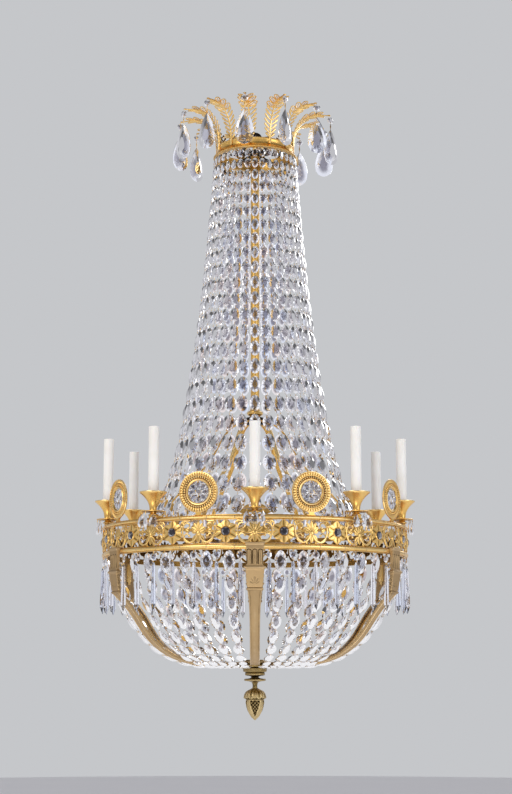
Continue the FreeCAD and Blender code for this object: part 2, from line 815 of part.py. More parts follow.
def make_stem():
    """Iron rod with the suspension eye, its gilt tube, knob, hub and nut."""
    eye = add("Part::Prism", "eye_disc", Polygon="16", Circumradius="dims.eye_radius",
              Height="dims.eye_width",
              Placement__Base__y="dims.eye_width / 2")
    eye.Placement.Rotation = FreeCAD.Rotation(Vector(1, 0, 0), 90)
    bore = add("Part::Cylinder", "eye_hole", Radius="dims.eye_bore", Height="dims.eye_width",
               Placement__Base__y="dims.eye_width / 2")
    bore.Placement.Rotation = FreeCAD.Rotation(Vector(1, 0, 0), 90)
    shank = add("Part::Prism", "rod_shank", Polygon="8", Circumradius="dims.rod_radius",
                Height="-dims.knob_level - (dims.eye_radius + dims.eye_bore) / 2",
                Placement__Base__z="dims.knob_level")
    whole = combined("Part::Fuse", "rod_with_disc", eye, shank)
    node(combined("Part::Cut", "rod_with_eye", whole, bore), "suspension_rod")

    prism_ring(
        "stem_tube", "dims.turning_sides", "dims.tube_radius", "dims.tube_bore",
        "dims.spider_level - dims.spider_thickness - dims.knob_level", "dims.knob_level",
    )

    top = size("knob_level")
    hub_top = top - size("hub_drop")
    knob = faceted_turning(((11.0, hub_top), (13.0, hub_top + 3.0), (20.0, top - 12.0),
                            (20.0, top - 8.0), (11.0, top)), count("turning_sides"))
    shaped_node("stem_knob", [knob])
    node(add("Part::Prism", "hub_body", Polygon="dims.leg_count * 2",
             Circumradius="dims.hub_radius", Height="dims.hub_height",
             Placement__Base__z="dims.knob_level - dims.hub_drop - dims.hub_height"), "stay_hub")
    node(add("Part::Prism", "nut_body", Polygon="dims.leg_count", Circumradius="dims.rod_radius * 2",
             Height="dims.rod_radius * 1.5",
             Placement__Base__z="dims.knob_level - dims.hub_drop - dims.hub_height"
                                " - dims.rod_radius * 1.5"), "hub_nut")


def make_spider():
    """Six-armed spider that hangs the crown on the stem."""
    hub = add("Part::Prism", "spider_hub", Polygon="dims.turning_sides",
              Circumradius="dims.spider_hub_radius", Height="dims.spider_thickness",
              Placement__Base__z="dims.spider_level - dims.spider_thickness")
    arms = hub
    reach = size("crown_inner_radius") - size("spider_gap")
    corner = Vector(-reach, -size("spider_arm_width") / 2.0,
                    size("spider_level") - size("spider_thickness"))
    for k in range(3):
        arm = add("Part::Box", "spider_arm%d" % k, Width="dims.spider_arm_width",
                  Length="(dims.crown_inner_radius - dims.spider_gap) * 2",
                  Height="dims.spider_thickness")
        turn = FreeCAD.Rotation(Vector(0, 0, 1), 60.0 * k)
        arm.Placement = FreeCAD.Placement(turn.multVec(corner), turn)
        arms = combined("Part::Fuse", "spider_fuse%d" % k, arms, arm)
    hole = add("Part::Prism", "spider_hole", Polygon="dims.turning_sides",
               Circumradius="dims.rod_radius + 0.5", Height="dims.spider_thickness",
               Placement__Base__z="dims.spider_level - dims.spider_thickness")
    node(combined("Part::Cut", "spider_cut", arms, hole), "crown_spider")


def make_stays():
    """Curved iron stays from the hub down and out to the tent ring."""
    hub_level = size("knob_level") - size("hub_drop") - size("hub_height") / 2.0
    foot = gallery_top() + size("bridge_thickness") + size("tent_ring_thickness")
    thick = size("stay_thickness")
    stations = (
        (size("hub_radius") + 0.3, hub_level, 1.45),
        (size("hub_radius") + 32.0, hub_level - 14.0, 1.1),
        (105.0, -810.0, 0.75),
        (160.0, -872.0, 0.8),
        (213.0, -933.0, 0.75),
        (235.0, foot + 1.5, 0.9),
    )
    sections = [flat_section(radius, level, slope, size("stay_width"), thick)
                for radius, level, slope in stations]
    sections[-1] = [Vector(corner.x, corner.y, foot) for corner in sections[-1]]
    shaped_node("tent_stays", ring_of(strip(sections), count("leg_count"), 30.0))


# ---------------------------------------------------------------- building


def check_and_export():
    """Stops on a failed object, then writes each node's file."""
    DOC.recompute()
    for item in DOC.Objects:
        if "Invalid" in item.State or "Error" in item.State:
            raise RuntimeError("failed: " + item.Name)
    os.makedirs("parts", exist_ok=True)
    for item in NODES:
        if item.Shape.isNull() or not item.Shape.isValid():
            raise RuntimeError("bad shape: " + item.Label)
        item.Shape.exportStep("parts/%s.step" % item.Label)
        print("%-24s %4d solids %9.1f cm3" % (
            item.Label, len(item.Shape.Solids), item.Shape.Volume / 1000.0))


make_stem()
make_spider()
make_crown_band()
make_plumes()
make_pendants()
make_tent()
make_stays()
make_gallery_rings()
make_frieze()
make_bridges()
make_nozzles()
make_nozzle_drops()
make_medallions()
make_legs()
make_basket()
make_icicles()
make_bottom()
check_and_export()
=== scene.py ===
"""Looks of a classical tent-and-basket chandelier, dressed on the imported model.

Shapes are worked out in millimetres in the part's own frame (+Z up, the front
faces -Y, the origin in the suspension eye) and become metres in Casting.finish.
"""
import logging
import math
from dataclasses import dataclass
from enum import Enum
from typing import Callable, Iterable, Sequence

import bpy
import numpy as np
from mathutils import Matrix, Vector


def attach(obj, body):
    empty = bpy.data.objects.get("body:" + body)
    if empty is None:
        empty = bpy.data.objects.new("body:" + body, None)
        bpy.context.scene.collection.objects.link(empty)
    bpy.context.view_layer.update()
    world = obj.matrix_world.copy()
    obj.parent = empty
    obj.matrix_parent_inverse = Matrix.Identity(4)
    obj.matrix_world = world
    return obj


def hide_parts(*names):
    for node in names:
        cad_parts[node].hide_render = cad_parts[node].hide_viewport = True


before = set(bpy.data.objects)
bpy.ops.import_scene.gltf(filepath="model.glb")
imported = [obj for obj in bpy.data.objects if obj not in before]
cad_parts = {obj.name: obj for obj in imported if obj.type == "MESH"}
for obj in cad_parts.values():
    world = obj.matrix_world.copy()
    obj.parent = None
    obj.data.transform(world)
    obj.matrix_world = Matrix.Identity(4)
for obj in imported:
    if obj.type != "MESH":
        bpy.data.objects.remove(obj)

LOG = logging.getLogger("chandelier")
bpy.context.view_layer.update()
MM = 0.001
GALLERY = -1050.0
LIGHTS = 9
BAYS = 6
SHARP_FROM = 35.0

Points = np.ndarray
Faces = list[tuple[int, ...]]


# ------------------------------------------------------------------ mesh craft


def front(radius: float, level: float, across: float = 0.0) -> list[float]:
    """A point at the front, by its radius, its level and its distance across."""
    return [across, -radius, level]


def spun(points: Points, degrees: float) -> Points:
    """Points carried round the axis, as the part's own pieces are."""
    angle = math.radians(degrees)
    cos, sin = math.cos(angle), math.sin(angle)
    turn = np.array([[cos, -sin, 0.0], [sin, cos, 0.0], [0.0, 0.0, 1.0]])
    return np.asarray(points, float) @ turn.T


def wrapped(flat: Points, radius: float) -> Points:
    """Bends a relief, given as across, outward and up, round the front of a cylinder."""
    flat = np.asarray(flat, float)
    turn = flat[:, 0] / radius
    reach = radius + flat[:, 1]
    return np.stack([reach * np.sin(turn), -reach * np.cos(turn), flat[:, 2]], axis=1)


def natural_path(knots: Sequence[Sequence[float]], number: int) -> Points:
    """A smooth curve through knots, sampled at even lengths.

    Args:
        knots: points that the curve passes through.
        number: how many points to return.

    Returns:
        Points along a natural cubic.
    """
    knots = np.asarray(knots, float)
    spans = np.linalg.norm(np.diff(knots, axis=0), axis=1)
    at = reached(knots)
    size = len(knots)
    system = np.eye(size)
    right = np.zeros_like(knots)
    for k in range(1, size - 1):
        before, after = spans[k - 1], spans[k]
        system[k, k - 1:k + 2] = before, 2.0 * (before + after), after
        right[k] = 6.0 * ((knots[k + 1] - knots[k]) / after - (knots[k] - knots[k - 1]) / before)
    bend = np.linalg.solve(system, right)
    fine = np.linspace(0.0, at[-1], 40 * size)
    span = np.clip(np.searchsorted(at, fine, side="right") - 1, 0, size - 2)
    width = spans[span][:, None]
    ahead = (fine - at[span])[:, None] / width
    behind = 1.0 - ahead
    curve = behind * knots[span] + ahead * knots[span + 1] + width ** 2 / 6.0 * (
        (behind ** 3 - behind) * bend[span] + (ahead ** 3 - ahead) * bend[span + 1])
    return evenly(curve, np.linspace(0.0, 1.0, number))


def reached(curve: Points) -> Points:
    """Length along a curve at each of its points."""
    return np.concatenate([[0.0], np.cumsum(np.linalg.norm(np.diff(curve, axis=0), axis=1))])


def evenly(curve: Points, shares: Sequence[float]) -> Points:
    """Points of a curve at given shares of its length."""
    along = reached(curve)
    wanted = np.asarray(shares, float) * along[-1]
    return np.stack([np.interp(wanted, along, column) for column in curve.T], axis=1)


def unit(vectors: Points) -> Points:
    """The directions of vectors."""
    return vectors / np.linalg.norm(vectors, axis=1)[:, None]


def fronted(curve: Points) -> Points:
    """Points at the front, from radii and levels."""
    return np.stack([np.zeros(len(curve)), -curve[:, 0], curve[:, 1]], axis=1)


def square_to(run: Points) -> Points:
    """Directions square to the steps of a path of radii and levels at the front."""
    return np.stack([np.zeros(len(run)), run[:, 1], run[:, 0]], axis=1)


def circle(number: int) -> Points:
    """Angles in radians of equal steps round a circle."""
    return np.linspace(0.0, 2.0 * math.pi, number, endpoint=False)


def all_round(number: int, first: float = 0.0) -> list[float]:
    """Angles in degrees of equal steps round the axis."""
    return [first + 360.0 / number * k for k in range(number)]


def graded_shares(number: int, taper: float) -> Points:
    """Shares of a strand where its beads meet, growing evenly by a taper."""
    weights = np.linspace(1.0, taper, number)
    return np.concatenate([[0.0], np.cumsum(weights)]) / weights.sum()


class Casting:
    """A mesh under construction, with two marks for each point: tone and heart.

    On metal the tone runs from 0 in a recess to 1 on a crest, and paints shade in the
    recesses and a highlight on the crests. On glass it is one value for a whole stone,
    whose heart is 1 on the table and 0 at the rim; the heart greys the table as painted shade.
    """

    def __init__(self) -> None:
        """Starts with no points."""
        self.points: list[Points] = []
        self.faces: Faces = []
        self.marks: list[Points] = []
        self.total = 0

    def add(self, points: Points, faces: Faces, marks: float | Points = 0.5) -> "Casting":
        """Adds points with their faces, and one tone, a tone each or both marks each."""
        points = np.asarray(points, float).reshape(-1, 3)
        start = self.total
        self.faces.extend(tuple(k + start for k in face) for face in faces)
        self.points.append(points)
        given = np.asarray(marks, float)
        both = np.zeros((len(points), 2))
        if given.ndim == 2:
            both[:] = given
        else:
            both[:, 0] = given
        self.marks.append(both)
        self.total += len(points)
        return self

    def join(self, other: "Casting") -> "Casting":
        """Adds all of another casting."""
        return self.add(other.all_points(), other.faces, other.all_marks())

    def all_points(self) -> Points:
        """Every point in one array."""
        return np.concatenate(self.points)

    def all_marks(self) -> Points:
        """Every point's two marks in one array."""
        return np.concatenate(self.marks)

    def around(self, turns: Iterable[float]) -> "Casting":
        """Copies carried round the axis by angles in degrees."""
        ring = Casting()
        points, marks = self.all_points(), self.all_marks()
        for degrees in turns:
            ring.add(spun(points, degrees), self.faces, marks)
        return ring

    def shaped(self, change: Callable[[Points], Points]) -> "Casting":
        """The same casting with its points changed by a function."""
        return Casting().add(change(self.all_points()), self.faces, self.all_marks())

    def moved(self, x: float, y: float, z: float) -> "Casting":
        """The same casting, moved."""
        return self.shaped(lambda points: points + [x, y, z])

    def faced(self) -> "Casting":
        """A turned casting with its axis laid along y in place of z."""
        return self.shaped(lambda points: points[:, [0, 2, 1]])

    def finish(self, name: str, finish: "Finish", *stands_for: str, body: str = "frame") -> None:
        """Makes the object, gives it its finish and rides it on a body.

        Args:
            name: name of the piece.
            finish: the finish that it wears.
            stands_for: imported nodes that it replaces.
            body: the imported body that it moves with.
        """
        mesh = bpy.data.meshes.new(name)
        mesh.from_pydata((self.all_points() * MM).tolist(), [], self.faces)
        for mark, values in zip(("tone", "heart"), self.all_marks().T):
            mesh.attributes.new(mark, "FLOAT", "POINT").data.foreach_set(
                "value", np.ascontiguousarray(values, dtype=np.float32))
        if not finish.faceted:
            mesh.shade_smooth()
            mesh.set_sharp_from_angle(angle=math.radians(SHARP_FROM))
        mesh.materials.append(PALETTE.material(finish))
        mesh.validate()
        piece = bpy.data.objects.new(name, mesh)
        bpy.context.scene.collection.objects.link(piece)
        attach(piece, body)
        if stands_for:
            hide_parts(*stands_for)
        finish.slot
        LOG.info("%s: %d faces", name, len(self.faces))


def rings_about(radii: Points, levels: Points, sides: int) -> Points:
    """Rings of points about the axis, from rows of radii and levels."""
    angles = circle(sides)
    return np.stack([
        radii * np.sin(angles), -radii * np.cos(angles), np.repeat(levels, sides, axis=1)], axis=2)


def lathe(
    profile: Sequence[Sequence[float]],
    sides: int,
    closed: bool = False,
    tones: Sequence[float] | None = None,
) -> Casting:
    """A turned piece about the axis.

    Args:
        profile: radii and levels, from the foot up on the outside.
        sides: steps round the axis.
        closed: whether the profile closes on itself, as a ring's does.
        tones: a tone for each step of the profile, low for painted shade and high for a painted highlight.

    Returns:
        The turned mesh, with its ends capped where the profile is open.
    """
    profile = np.asarray(profile, float)
    tones = 0.5 if tones is None else np.asarray(tones, float)[:, None]
    return loft(rings_about(profile[:, :1], profile[:, 1:], sides), closed, tones)


def loft(sections: Points, looped: bool = False, tone: float | Points = 0.5) -> Casting:
    """Joins equal rings of points into a skin.

    Args:
        sections: an array of rings, each an array of points.
        looped: whether the last ring joins the first one.
        tone: one tone, one for each point of a ring, or one for each point.

    Returns:
        The skin, with end caps where it isn't looped.
    """
    sections = np.asarray(sections, float)
    rings, sides = sections.shape[:2]
    faces: Faces = []
    for ring in range(rings if looped else rings - 1):
        after = (ring + 1) % rings
        for k in range(sides):
            n = (k + 1) % sides
            faces.append((ring * sides + k, ring * sides + n, after * sides + n, after * sides + k))
    if not looped:
        faces.append(tuple(range(sides))[::-1])
        faces.append(tuple(range((rings - 1) * sides, rings * sides)))
    tones = np.broadcast_to(np.asarray(tone, float), (rings, sides)).reshape(-1)
    return Casting().add(sections.reshape(-1, 3), faces, tones)


def bar(
    path: Points,
    widths: float | Sequence[float],
    thick: float | Sequence[float],
    facing: Sequence[float] | Points,
    sides: int = 8,
    looped: bool = False,
) -> Casting:
    """A rounded bar along a path, with a painted highlight on its crest and painted shade at its edges.

    Args:
        path: middle line.
        widths: half width across the facing direction, at each point or one.
        thick: half thickness along the facing direction, at each point or one.
        facing: the direction that the bar's crest faces.
        sides: steps round the bar.
        looped: whether the path closes on itself.

    Returns:
        The bar.
    """
    path = np.asarray(path, float)
    number = len(path)
    widths = np.broadcast_to(np.asarray(widths, float), (number,))
    thick = np.broadcast_to(np.asarray(thick, float), (number,))
    if looped:
        along = unit(np.roll(path, -1, axis=0) - np.roll(path, 1, axis=0))
    else:
        along = unit(np.gradient(path, axis=0))
    side = unit(np.cross(along, np.broadcast_to(np.asarray(facing, float), (number, 3))))
    crest = np.cross(side, along)
    angles = circle(sides)
    sections = (
        path[:, None, :]
        + side[:, None, :] * (widths[:, None] * np.cos(angles))[:, :, None]
        + crest[:, None, :] * (thick[:, None] * np.sin(angles))[:, :, None])
    # Painted highlight on the side towards the crest, painted shade on the far side.
    return loft(sections, looped, 0.48 + 0.4 * np.sin(angles))


@dataclass(frozen=True)
class CutStone:
    """A cut stone: an outline with rings of facets before and behind it.

    Attributes:
        outline: across and up, as shares of the half width and half height.
        steps: scale and depth of each ring of facets towards the table.
        girdle: half thickness of the rim, as a share of the half depth.
        back: depth behind the rim over the depth before it.
        centre: how far up the table's middle lies.
        halo: how far the heart's painted shade fills the facets round the table.
    """

    outline: tuple[tuple[float, float], ...]
    steps: tuple[tuple[float, float], ...] = ((0.66, 0.72), (0.34, 1.0))
    girdle: float = 0.08
    back: float = 0.8
    centre: float = 0.0
    halo: float = 0.0

    def cut(self, half_width: float, half_height: float, half_depth: float, tone: float) -> Casting:
        """Cuts the stone at a size.

        Args:
            half_width: half of its width, across.
            half_height: half of its height, up.
            half_depth: half of its depth, outward.
            tone: the stone's own tone.

        Returns:
            The stone about the origin, as across, outward and up.
        """
        rim = np.asarray(self.outline, float)
        number = len(rim)
        rows = []
        for side, deep in ((-1.0, self.back), (1.0, 1.0)):
            ring, rings = rim, [(rim, self.girdle)]
            for scale, depth in self.steps:
                ring = (ring + np.roll(ring, -1, axis=0)) / 2.0
                reach = ring - [0.0, self.centre]
                shaped = reach / np.linalg.norm(reach, axis=1).max() * scale + [0.0, self.centre]
                rings.append((shaped, depth * deep))
            rows.extend((points, side * depth) for points, depth in rings[::int(side)])
        marks = np.zeros((len(rows) * number, 2))
        marks[:, 0] = tone
        # The heart mark lays painted shade: 1 on both tables, the halo share on the facets round them.
        if len(self.steps) > 1:
            marks[number:2 * number, 1] = marks[-2 * number:-number, 1] = self.halo
        marks[:number, 1] = marks[-number:, 1] = 1.0
        faces: Faces = []
        for row in range(len(rows) - 1):
            low, high = row * number, (row + 1) * number
            for k in range(number):
                n = (k + 1) % number
                if row == len(self.steps):
                    faces.append((low + k, low + n, high + n, high + k))
                elif row < len(self.steps):
                    faces += [(low + k, low + n, high + n), (low + k, high + n, high + k)]
                else:
                    faces += [(low + k, low + n, high + k), (low + n, high + n, high + k)]
        faces.append(tuple(range(number))[::-1])
        faces.append(tuple(range(len(marks) - number, len(marks))))
        points = np.concatenate([np.stack([
            ring[:, 0] * half_width, np.full(number, depth * half_depth), ring[:, 1] * half_height],
            axis=1) for ring, depth in rows])
        return Casting().add(points, faces, marks)


def oval(number: int, point: float = 0.0) -> tuple[tuple[float, float], ...]:
    """An oval outline, drawn in towards its ends by a share."""
    angles = circle(number)
    return tuple(zip(np.sin(angles) * (1.0 - point * np.cos(angles) ** 2), np.cos(angles)))


def pear(number: int) -> tuple[tuple[float, float], ...]:
    """A pear outline with its point up."""
    half = ((0.0, 1.0), (0.2, 0.86), (0.46, 0.63), (0.7, 0.36), (0.88, 0.06), (1.0, -0.36),
            (0.9, -0.68), (0.56, -0.9), (0.0, -1.0))
    curve = natural_path(half, number // 2 + 1)
    right = [(float(x), float(y)) for x, y in curve]
    return tuple(right + [(-x, y) for x, y in right[-2:0:-1]])


# ------------------------------------------------------------------ finishes


class Finish(Enum):
    """Finishes of the metal, the glass and the sleeves."""

    GILT = "gilt_brass"
    ANTIQUE = "antique_brass"
    IRON = "dark_iron"
    CRYSTAL = "clear_crystal"
    STONE = "dark_stone"
    SLEEVE = "white_sleeve"
    # The antique brass darkened as painted shade, for the finial.
    SHADED_ANTIQUE = "shaded_antique_brass"

    @property
    def slot(self) -> str:
        """The record's slot of the finish: the finial's darker brass is the antique one, darkened as painted
        shade.
        """
        return Finish.ANTIQUE.value if self is Finish.SHADED_ANTIQUE else self.value

    @property
    def faceted(self) -> bool:
        """Whether its pieces keep every edge sharp, as cut stones do."""
        return self in (Finish.CRYSTAL, Finish.STONE)


Tree = bpy.types.ShaderNodeTree
Node = bpy.types.ShaderNode
Socket = bpy.types.NodeSocket
Colour = tuple[float, float, float]


def opaque(colour: Colour) -> tuple[float, float, float, float]:
    """A colour with full alpha."""
    return (*colour, 1.0)


def feed(tree: Tree, target: Socket, value: object) -> None:
    """Gives an input another node's output, or a value of its own."""
    if isinstance(value, Socket):
        tree.links.new(value, target)
    else:
        target.default_value = value


def node(tree: Tree, kind: str, **values: object) -> Node:
    """Adds a shader node.

    Args:
        tree: tree that the node goes into.
        kind: the node's type, without its ShaderNode prefix.
        values: properties, and then inputs by name with underscores for spaces.

    Returns:
        The new node.
    """
    made = tree.nodes.new("ShaderNode" + kind)
    for name, value in values.items():
        if hasattr(made, name):
            setattr(made, name, value)
        else:
            feed(tree, made.inputs[name.replace("_", " ")], value)
    return made


def maths(tree: Tree, operation: str, *values: object, clamp: bool = False) -> Socket:
    """The outcome of a sum on outputs or numbers."""
    made = node(tree, "Math", operation=operation, use_clamp=clamp)
    for target, value in zip(made.inputs, values):
        feed(tree, target, value)
    return made.outputs[0]


def mixed(tree: Tree, share: object, first: object, second: object, blend: str = "MIX") -> Socket:
    """A colour mixed from two by a share."""
    return node(tree, "Mix", data_type="RGBA", blend_type=blend, Factor=share, A=first,
                B=second).outputs["Result"]


def ranged(tree: Tree, value: Socket, low: float, high: float, easing: str = "SMOOTHSTEP") -> Socket:
    """Where a value lies between two others, from 0 to 1."""
    return node(tree, "MapRange", interpolation_type=easing, Value=value, From_Min=low,
                From_Max=high).outputs["Result"]


def marked(tree: Tree, name: str) -> Socket:
    """The value of one of a casting's marks."""
    return node(tree, "Attribute", attribute_name=name).outputs["Fac"]


def noise(tree: Tree, **values: object) -> Socket:
    """Cloudy noise over the object."""
    spot = node(tree, "TexCoord").outputs["Object"]
    return node(tree, "TexNoise", Vector=spot, **values).outputs["Fac"]


class NodeGroup:
    """A shared effect: a group of nodes with named inputs and outputs."""

    def __init__(self, name: str, outputs: str, **inputs: object) -> None:
        """Opens the group.

        Args:
            name: the group's name.
            outputs: names of its outputs, of which Colour is a colour.
            inputs: what each input holds by itself, with underscores for spaces.
        """
        self.tree = bpy.data.node_groups.new(name, "ShaderNodeTree")
        for socket, value in inputs.items():
            kind = "NodeSocketFloat" if isinstance(value, float) else "NodeSocketColor"
            self.tree.interface.new_socket(
                socket.replace("_", " "), in_out="INPUT", socket_type=kind).default_value = value
        for socket in outputs.split():
            kind = "NodeSocketColor" if socket == "Colour" else "NodeSocketFloat"
            self.tree.interface.new_socket(socket, in_out="OUTPUT", socket_type=kind)
        self.given = self.tree.nodes.new("NodeGroupInput").outputs
        self.results = self.tree.nodes.new("NodeGroupOutput").inputs

    def give(self, output: str, value: Socket) -> None:
        """Links one of the group's outputs."""
        self.tree.links.new(value, self.results[output])

    def used_in(self, tree: Tree, **values: object) -> Node:
        """Adds the group to a material, with values for its inputs."""
        made = tree.nodes.new("ShaderNodeGroup")
        made.node_tree = self.tree
        for name, value in values.items():
            made.inputs[name.replace("_", " ")].default_value = value
        return made


def relief_light_and_clouds() -> NodeGroup:
    """Group that shades a metal by its tone: painted shade in recesses, painted highlights on crests and
    cloudy gilding.
    """
    group = NodeGroup(
        "relief_light_and_clouds", "Colour Roughness Grain", Body=(0.8, 0.6, 0.3, 1.0), Recess=(0.1, 0.06, 0.02, 1.0),
        Crest=(1.0, 0.85, 0.5, 1.0), Cloud_Size=30.0, Clouding=0.3, Roughness_Low=0.25,
        Roughness_High=0.45)
    tree, given = group.tree, group.given
    clouds = noise(tree, Scale=given["Cloud Size"], Detail=5.0, Roughness=0.6)
    cloudy = maths(tree, "MULTIPLY", maths(tree, "SUBTRACT", clouds, 0.5), given["Clouding"])
    level = maths(tree, "ADD", marked(tree, "tone"), cloudy)
    # Low tones take the recess colour as painted shade, high tones the crest colour as a painted highlight;
    # the clouds shift both.
    shaded_body = mixed(tree, ranged(tree, level, 0.02, 0.42), given["Recess"], given["Body"])
    group.give("Colour", mixed(tree, ranged(tree, level, 0.6, 1.05), shaded_body, given["Crest"]))
    rough = node(tree, "Mix", Factor=clouds, A=given["Roughness Low"], B=given["Roughness High"])
    group.give("Roughness", rough.outputs["Result"])
    group.give("Grain", noise(tree, Scale=900.0, Detail=2.0))
    return group


def stone_tint() -> NodeGroup:
    """Group that gives each stone its own faint colour, and painted shade in its heart."""
    white = (1.0, 1.0, 1.0, 1.0)
    group = NodeGroup("stone_tint", "Colour", Clear=white, Cool=white, Warm=white, Heart=white)
    tree, given = group.tree, group.given
    tone = marked(tree, "tone")
    cooled = mixed(tree, ranged(tree, tone, 0.55, 1.0, "LINEAR"), given["Clear"], given["Cool"])
    warmed = mixed(tree, ranged(tree, tone, 0.25, 0.0, "LINEAR"), cooled, given["Warm"])
    # The heart's grey is painted shade, standing for dark seen through the table.
    inner = ranged(tree, marked(tree, "heart"), 0.3, 1.0)
    group.give("Colour", mixed(tree, inner, warmed, given["Heart"], "MULTIPLY"))
    return group


class Palette:
    """Builds each finish and each shared effect once and hands them out."""

    def __init__(self) -> None:
        """Starts with nothing made."""
        self.made: dict[object, object] = {}

    def group(self, build: Callable[[], NodeGroup]) -> NodeGroup:
        """The node group of a function that builds one."""
        if build not in self.made:
            self.made[build] = build()
        return self.made[build]

    def material(self, finish: Finish) -> bpy.types.Material:
        """The material of a finish."""
        if finish not in self.made:
            self.made[finish] = RECIPES[finish].mix(finish.value)
        return self.made[finish]


def blank_material(name: str) -> tuple[bpy.types.Material, Tree, Node]:
    """A new material, its tree and its Principled shader."""
    material = bpy.data.materials.new(name)
    material.use_nodes = True
    return material, material.node_tree, material.node_tree.nodes["Principled BSDF"]


@dataclass(frozen=True)
class Metal:
    """A cast and chased metal.

    Attributes:
        body: its colour on plain faces.
        recess: its colour in recesses, painted shade.
        crest: its colour on crests, a painted highlight.
        low: roughness where it is bright.
        high: roughness where it is cloudy.
        clouding: how much the cloudiness changes the tone.
        grain: height of its fine grain.
    """

    body: Colour
    recess: Colour
    crest: Colour
    low: float
    high: float
    clouding: float = 0.35
    grain: float = 0.05

    def mix(self, name: str) -> bpy.types.Material:
        """Builds the material."""
        material, tree, shader = blank_material(name)
        shader.inputs["Metallic"].default_value = 1.0
        # Painted shade in recesses and painted highlights on crests, with cloudy gilding.
        shaded_metal = PALETTE.group(relief_light_and_clouds).used_in(
            tree, Body=opaque(self.body), Recess=opaque(self.recess), Crest=opaque(self.crest),
            Clouding=self.clouding, Roughness_Low=self.low, Roughness_High=self.high)
        feed(tree, shader.inputs["Base Color"], shaded_metal.outputs["Colour"])
        feed(tree, shader.inputs["Roughness"], shaded_metal.outputs["Roughness"])
        bump = node(tree, "Bump", Strength=self.grain, Distance=0.0006, Height=shaded_metal.outputs["Grain"])
        feed(tree, shader.inputs["Normal"], bump.outputs["Normal"])
        return material


@dataclass(frozen=True)
class Crystal:
    """Cut and polished lead glass.

    Attributes:
        clear: colour of most stones.
        cool: colour of the coolest stones.
        warm: colour of the warmest stones.
        heart: painted shade that the stones' tables take away from that colour.
        clarity: share of the light that goes through.
        roughness: roughness of its polish.
    """

    clear: Colour
    cool: Colour
    warm: Colour
    # Grey of the stones' tables: painted shade.
    heart: Colour = (0.34, 0.325, 0.36)
    clarity: float = 1.0
    roughness: float = 0.0

    def mix(self, name: str) -> bpy.types.Material:
        """Builds the material."""
        material, tree, shader = blank_material(name)
        shader.inputs["Transmission Weight"].default_value = self.clarity
        shader.inputs["IOR"].default_value = 1.56
        shader.inputs["Roughness"].default_value = self.roughness
        tint = PALETTE.group(stone_tint).used_in(
            tree, Clear=opaque(self.clear), Cool=opaque(self.cool), Warm=opaque(self.warm),
            Heart=opaque(self.heart))
        feed(tree, shader.inputs["Base Color"], tint.outputs["Colour"])
        return material


@dataclass(frozen=True)
class Ceramic:
    """The sleeves' matt white skin, faintly uneven.

    Attributes:
        light: its colour.
        soiled: its colour in the faint clouds.
    """

    light: Colour
    soiled: Colour

    def mix(self, name: str) -> bpy.types.Material:
        """Builds the material."""
        material, tree, shader = blank_material(name)
        shader.inputs["Roughness"].default_value = 0.55
        shader.inputs["Subsurface Weight"].default_value = 0.1
        shader.inputs["Subsurface Radius"].default_value = (0.004, 0.003, 0.002)
        clouds = noise(tree, Scale=18.0, Detail=4.0)
        ramp = node(tree, "ValToRGB", Fac=clouds)
        for element, position, colour in zip(
                ramp.color_ramp.elements, (0.3, 0.62), (self.soiled, self.light)):
            element.position, element.color = position, opaque(colour)
        feed(tree, shader.inputs["Base Color"], ramp.outputs["Color"])
        bump = node(tree, "Bump", Strength=0.1, Distance=0.0005, Height=clouds)
        feed(tree, shader.inputs["Normal"], bump.outputs["Normal"])
        return material


PALETTE = Palette()
RECIPES = {
    # Each metal's recess colour is painted shade and its crest colour a painted highlight; the finial's
    # darker antique brass is painted shade.
    Finish.GILT: Metal((0.86, 0.53, 0.15), (0.09, 0.045, 0.012), (1.0, 0.76, 0.36), 0.2, 0.36),
    Finish.ANTIQUE: Metal((0.50, 0.345, 0.175), (0.07, 0.042, 0.018), (0.76, 0.60, 0.38), 0.38, 0.56,
                          clouding=0.7, grain=0.12),
    Finish.SHADED_ANTIQUE: Metal((0.31, 0.22, 0.085), (0.03, 0.02, 0.007), (0.70, 0.54, 0.28), 0.3, 0.46,
                        clouding=0.5, grain=0.1),
    Finish.IRON: Metal((0.16, 0.12, 0.08), (0.03, 0.02, 0.015), (0.3, 0.23, 0.14), 0.4, 0.6),
    Finish.CRYSTAL: Crystal((0.98, 0.98, 0.99), (0.8, 0.87, 1.0), (0.98, 0.87, 0.82)),
    Finish.STONE: Crystal((0.045, 0.035, 0.06), (0.04, 0.04, 0.1), (0.08, 0.05, 0.05), clarity=0.4),
    Finish.SLEEVE: Ceramic((0.92, 0.90, 0.86), (0.86, 0.83, 0.77)),
}


# ------------------------------------------------------------------ strands


TENT_BEAD = CutStone(oval(12, 0.08), steps=((0.5, 1),), girdle=0.14)
BOWL_BEAD = CutStone(oval(14, 0.1), steps=((0.84, 0.42), (0.52, 1)), girdle=0.1)
ROUND_BEAD = CutStone(oval(8), steps=((0.5, 1),), girdle=0.14)
PEAR_DROP = CutStone(pear(14), steps=((0.55, 1),), girdle=0.1, centre=-0.28)
LARGE_PEAR = CutStone(pear(18), steps=((0.86, 0.42), (0.5, 1)), centre=-0.3, halo=0.5)
ROSETTE_PETAL = CutStone(
    ((0, 1), (0.62, 0.45), (1, -0.2), (0.66, -0.8), (0, -1), (-0.66, -0.8), (-1, -0.2),
     (-0.62, 0.45)), steps=((0.45, 1),), centre=-0.1)
SQUARE_STONE = CutStone(
    ((0.5, 1), (1, 0.5), (1, -0.5), (0.5, -1), (-0.5, -1), (-1, -0.5), (-1, 0.5), (-0.5, 1)),
    steps=((0.64, 1),), back=0.5)


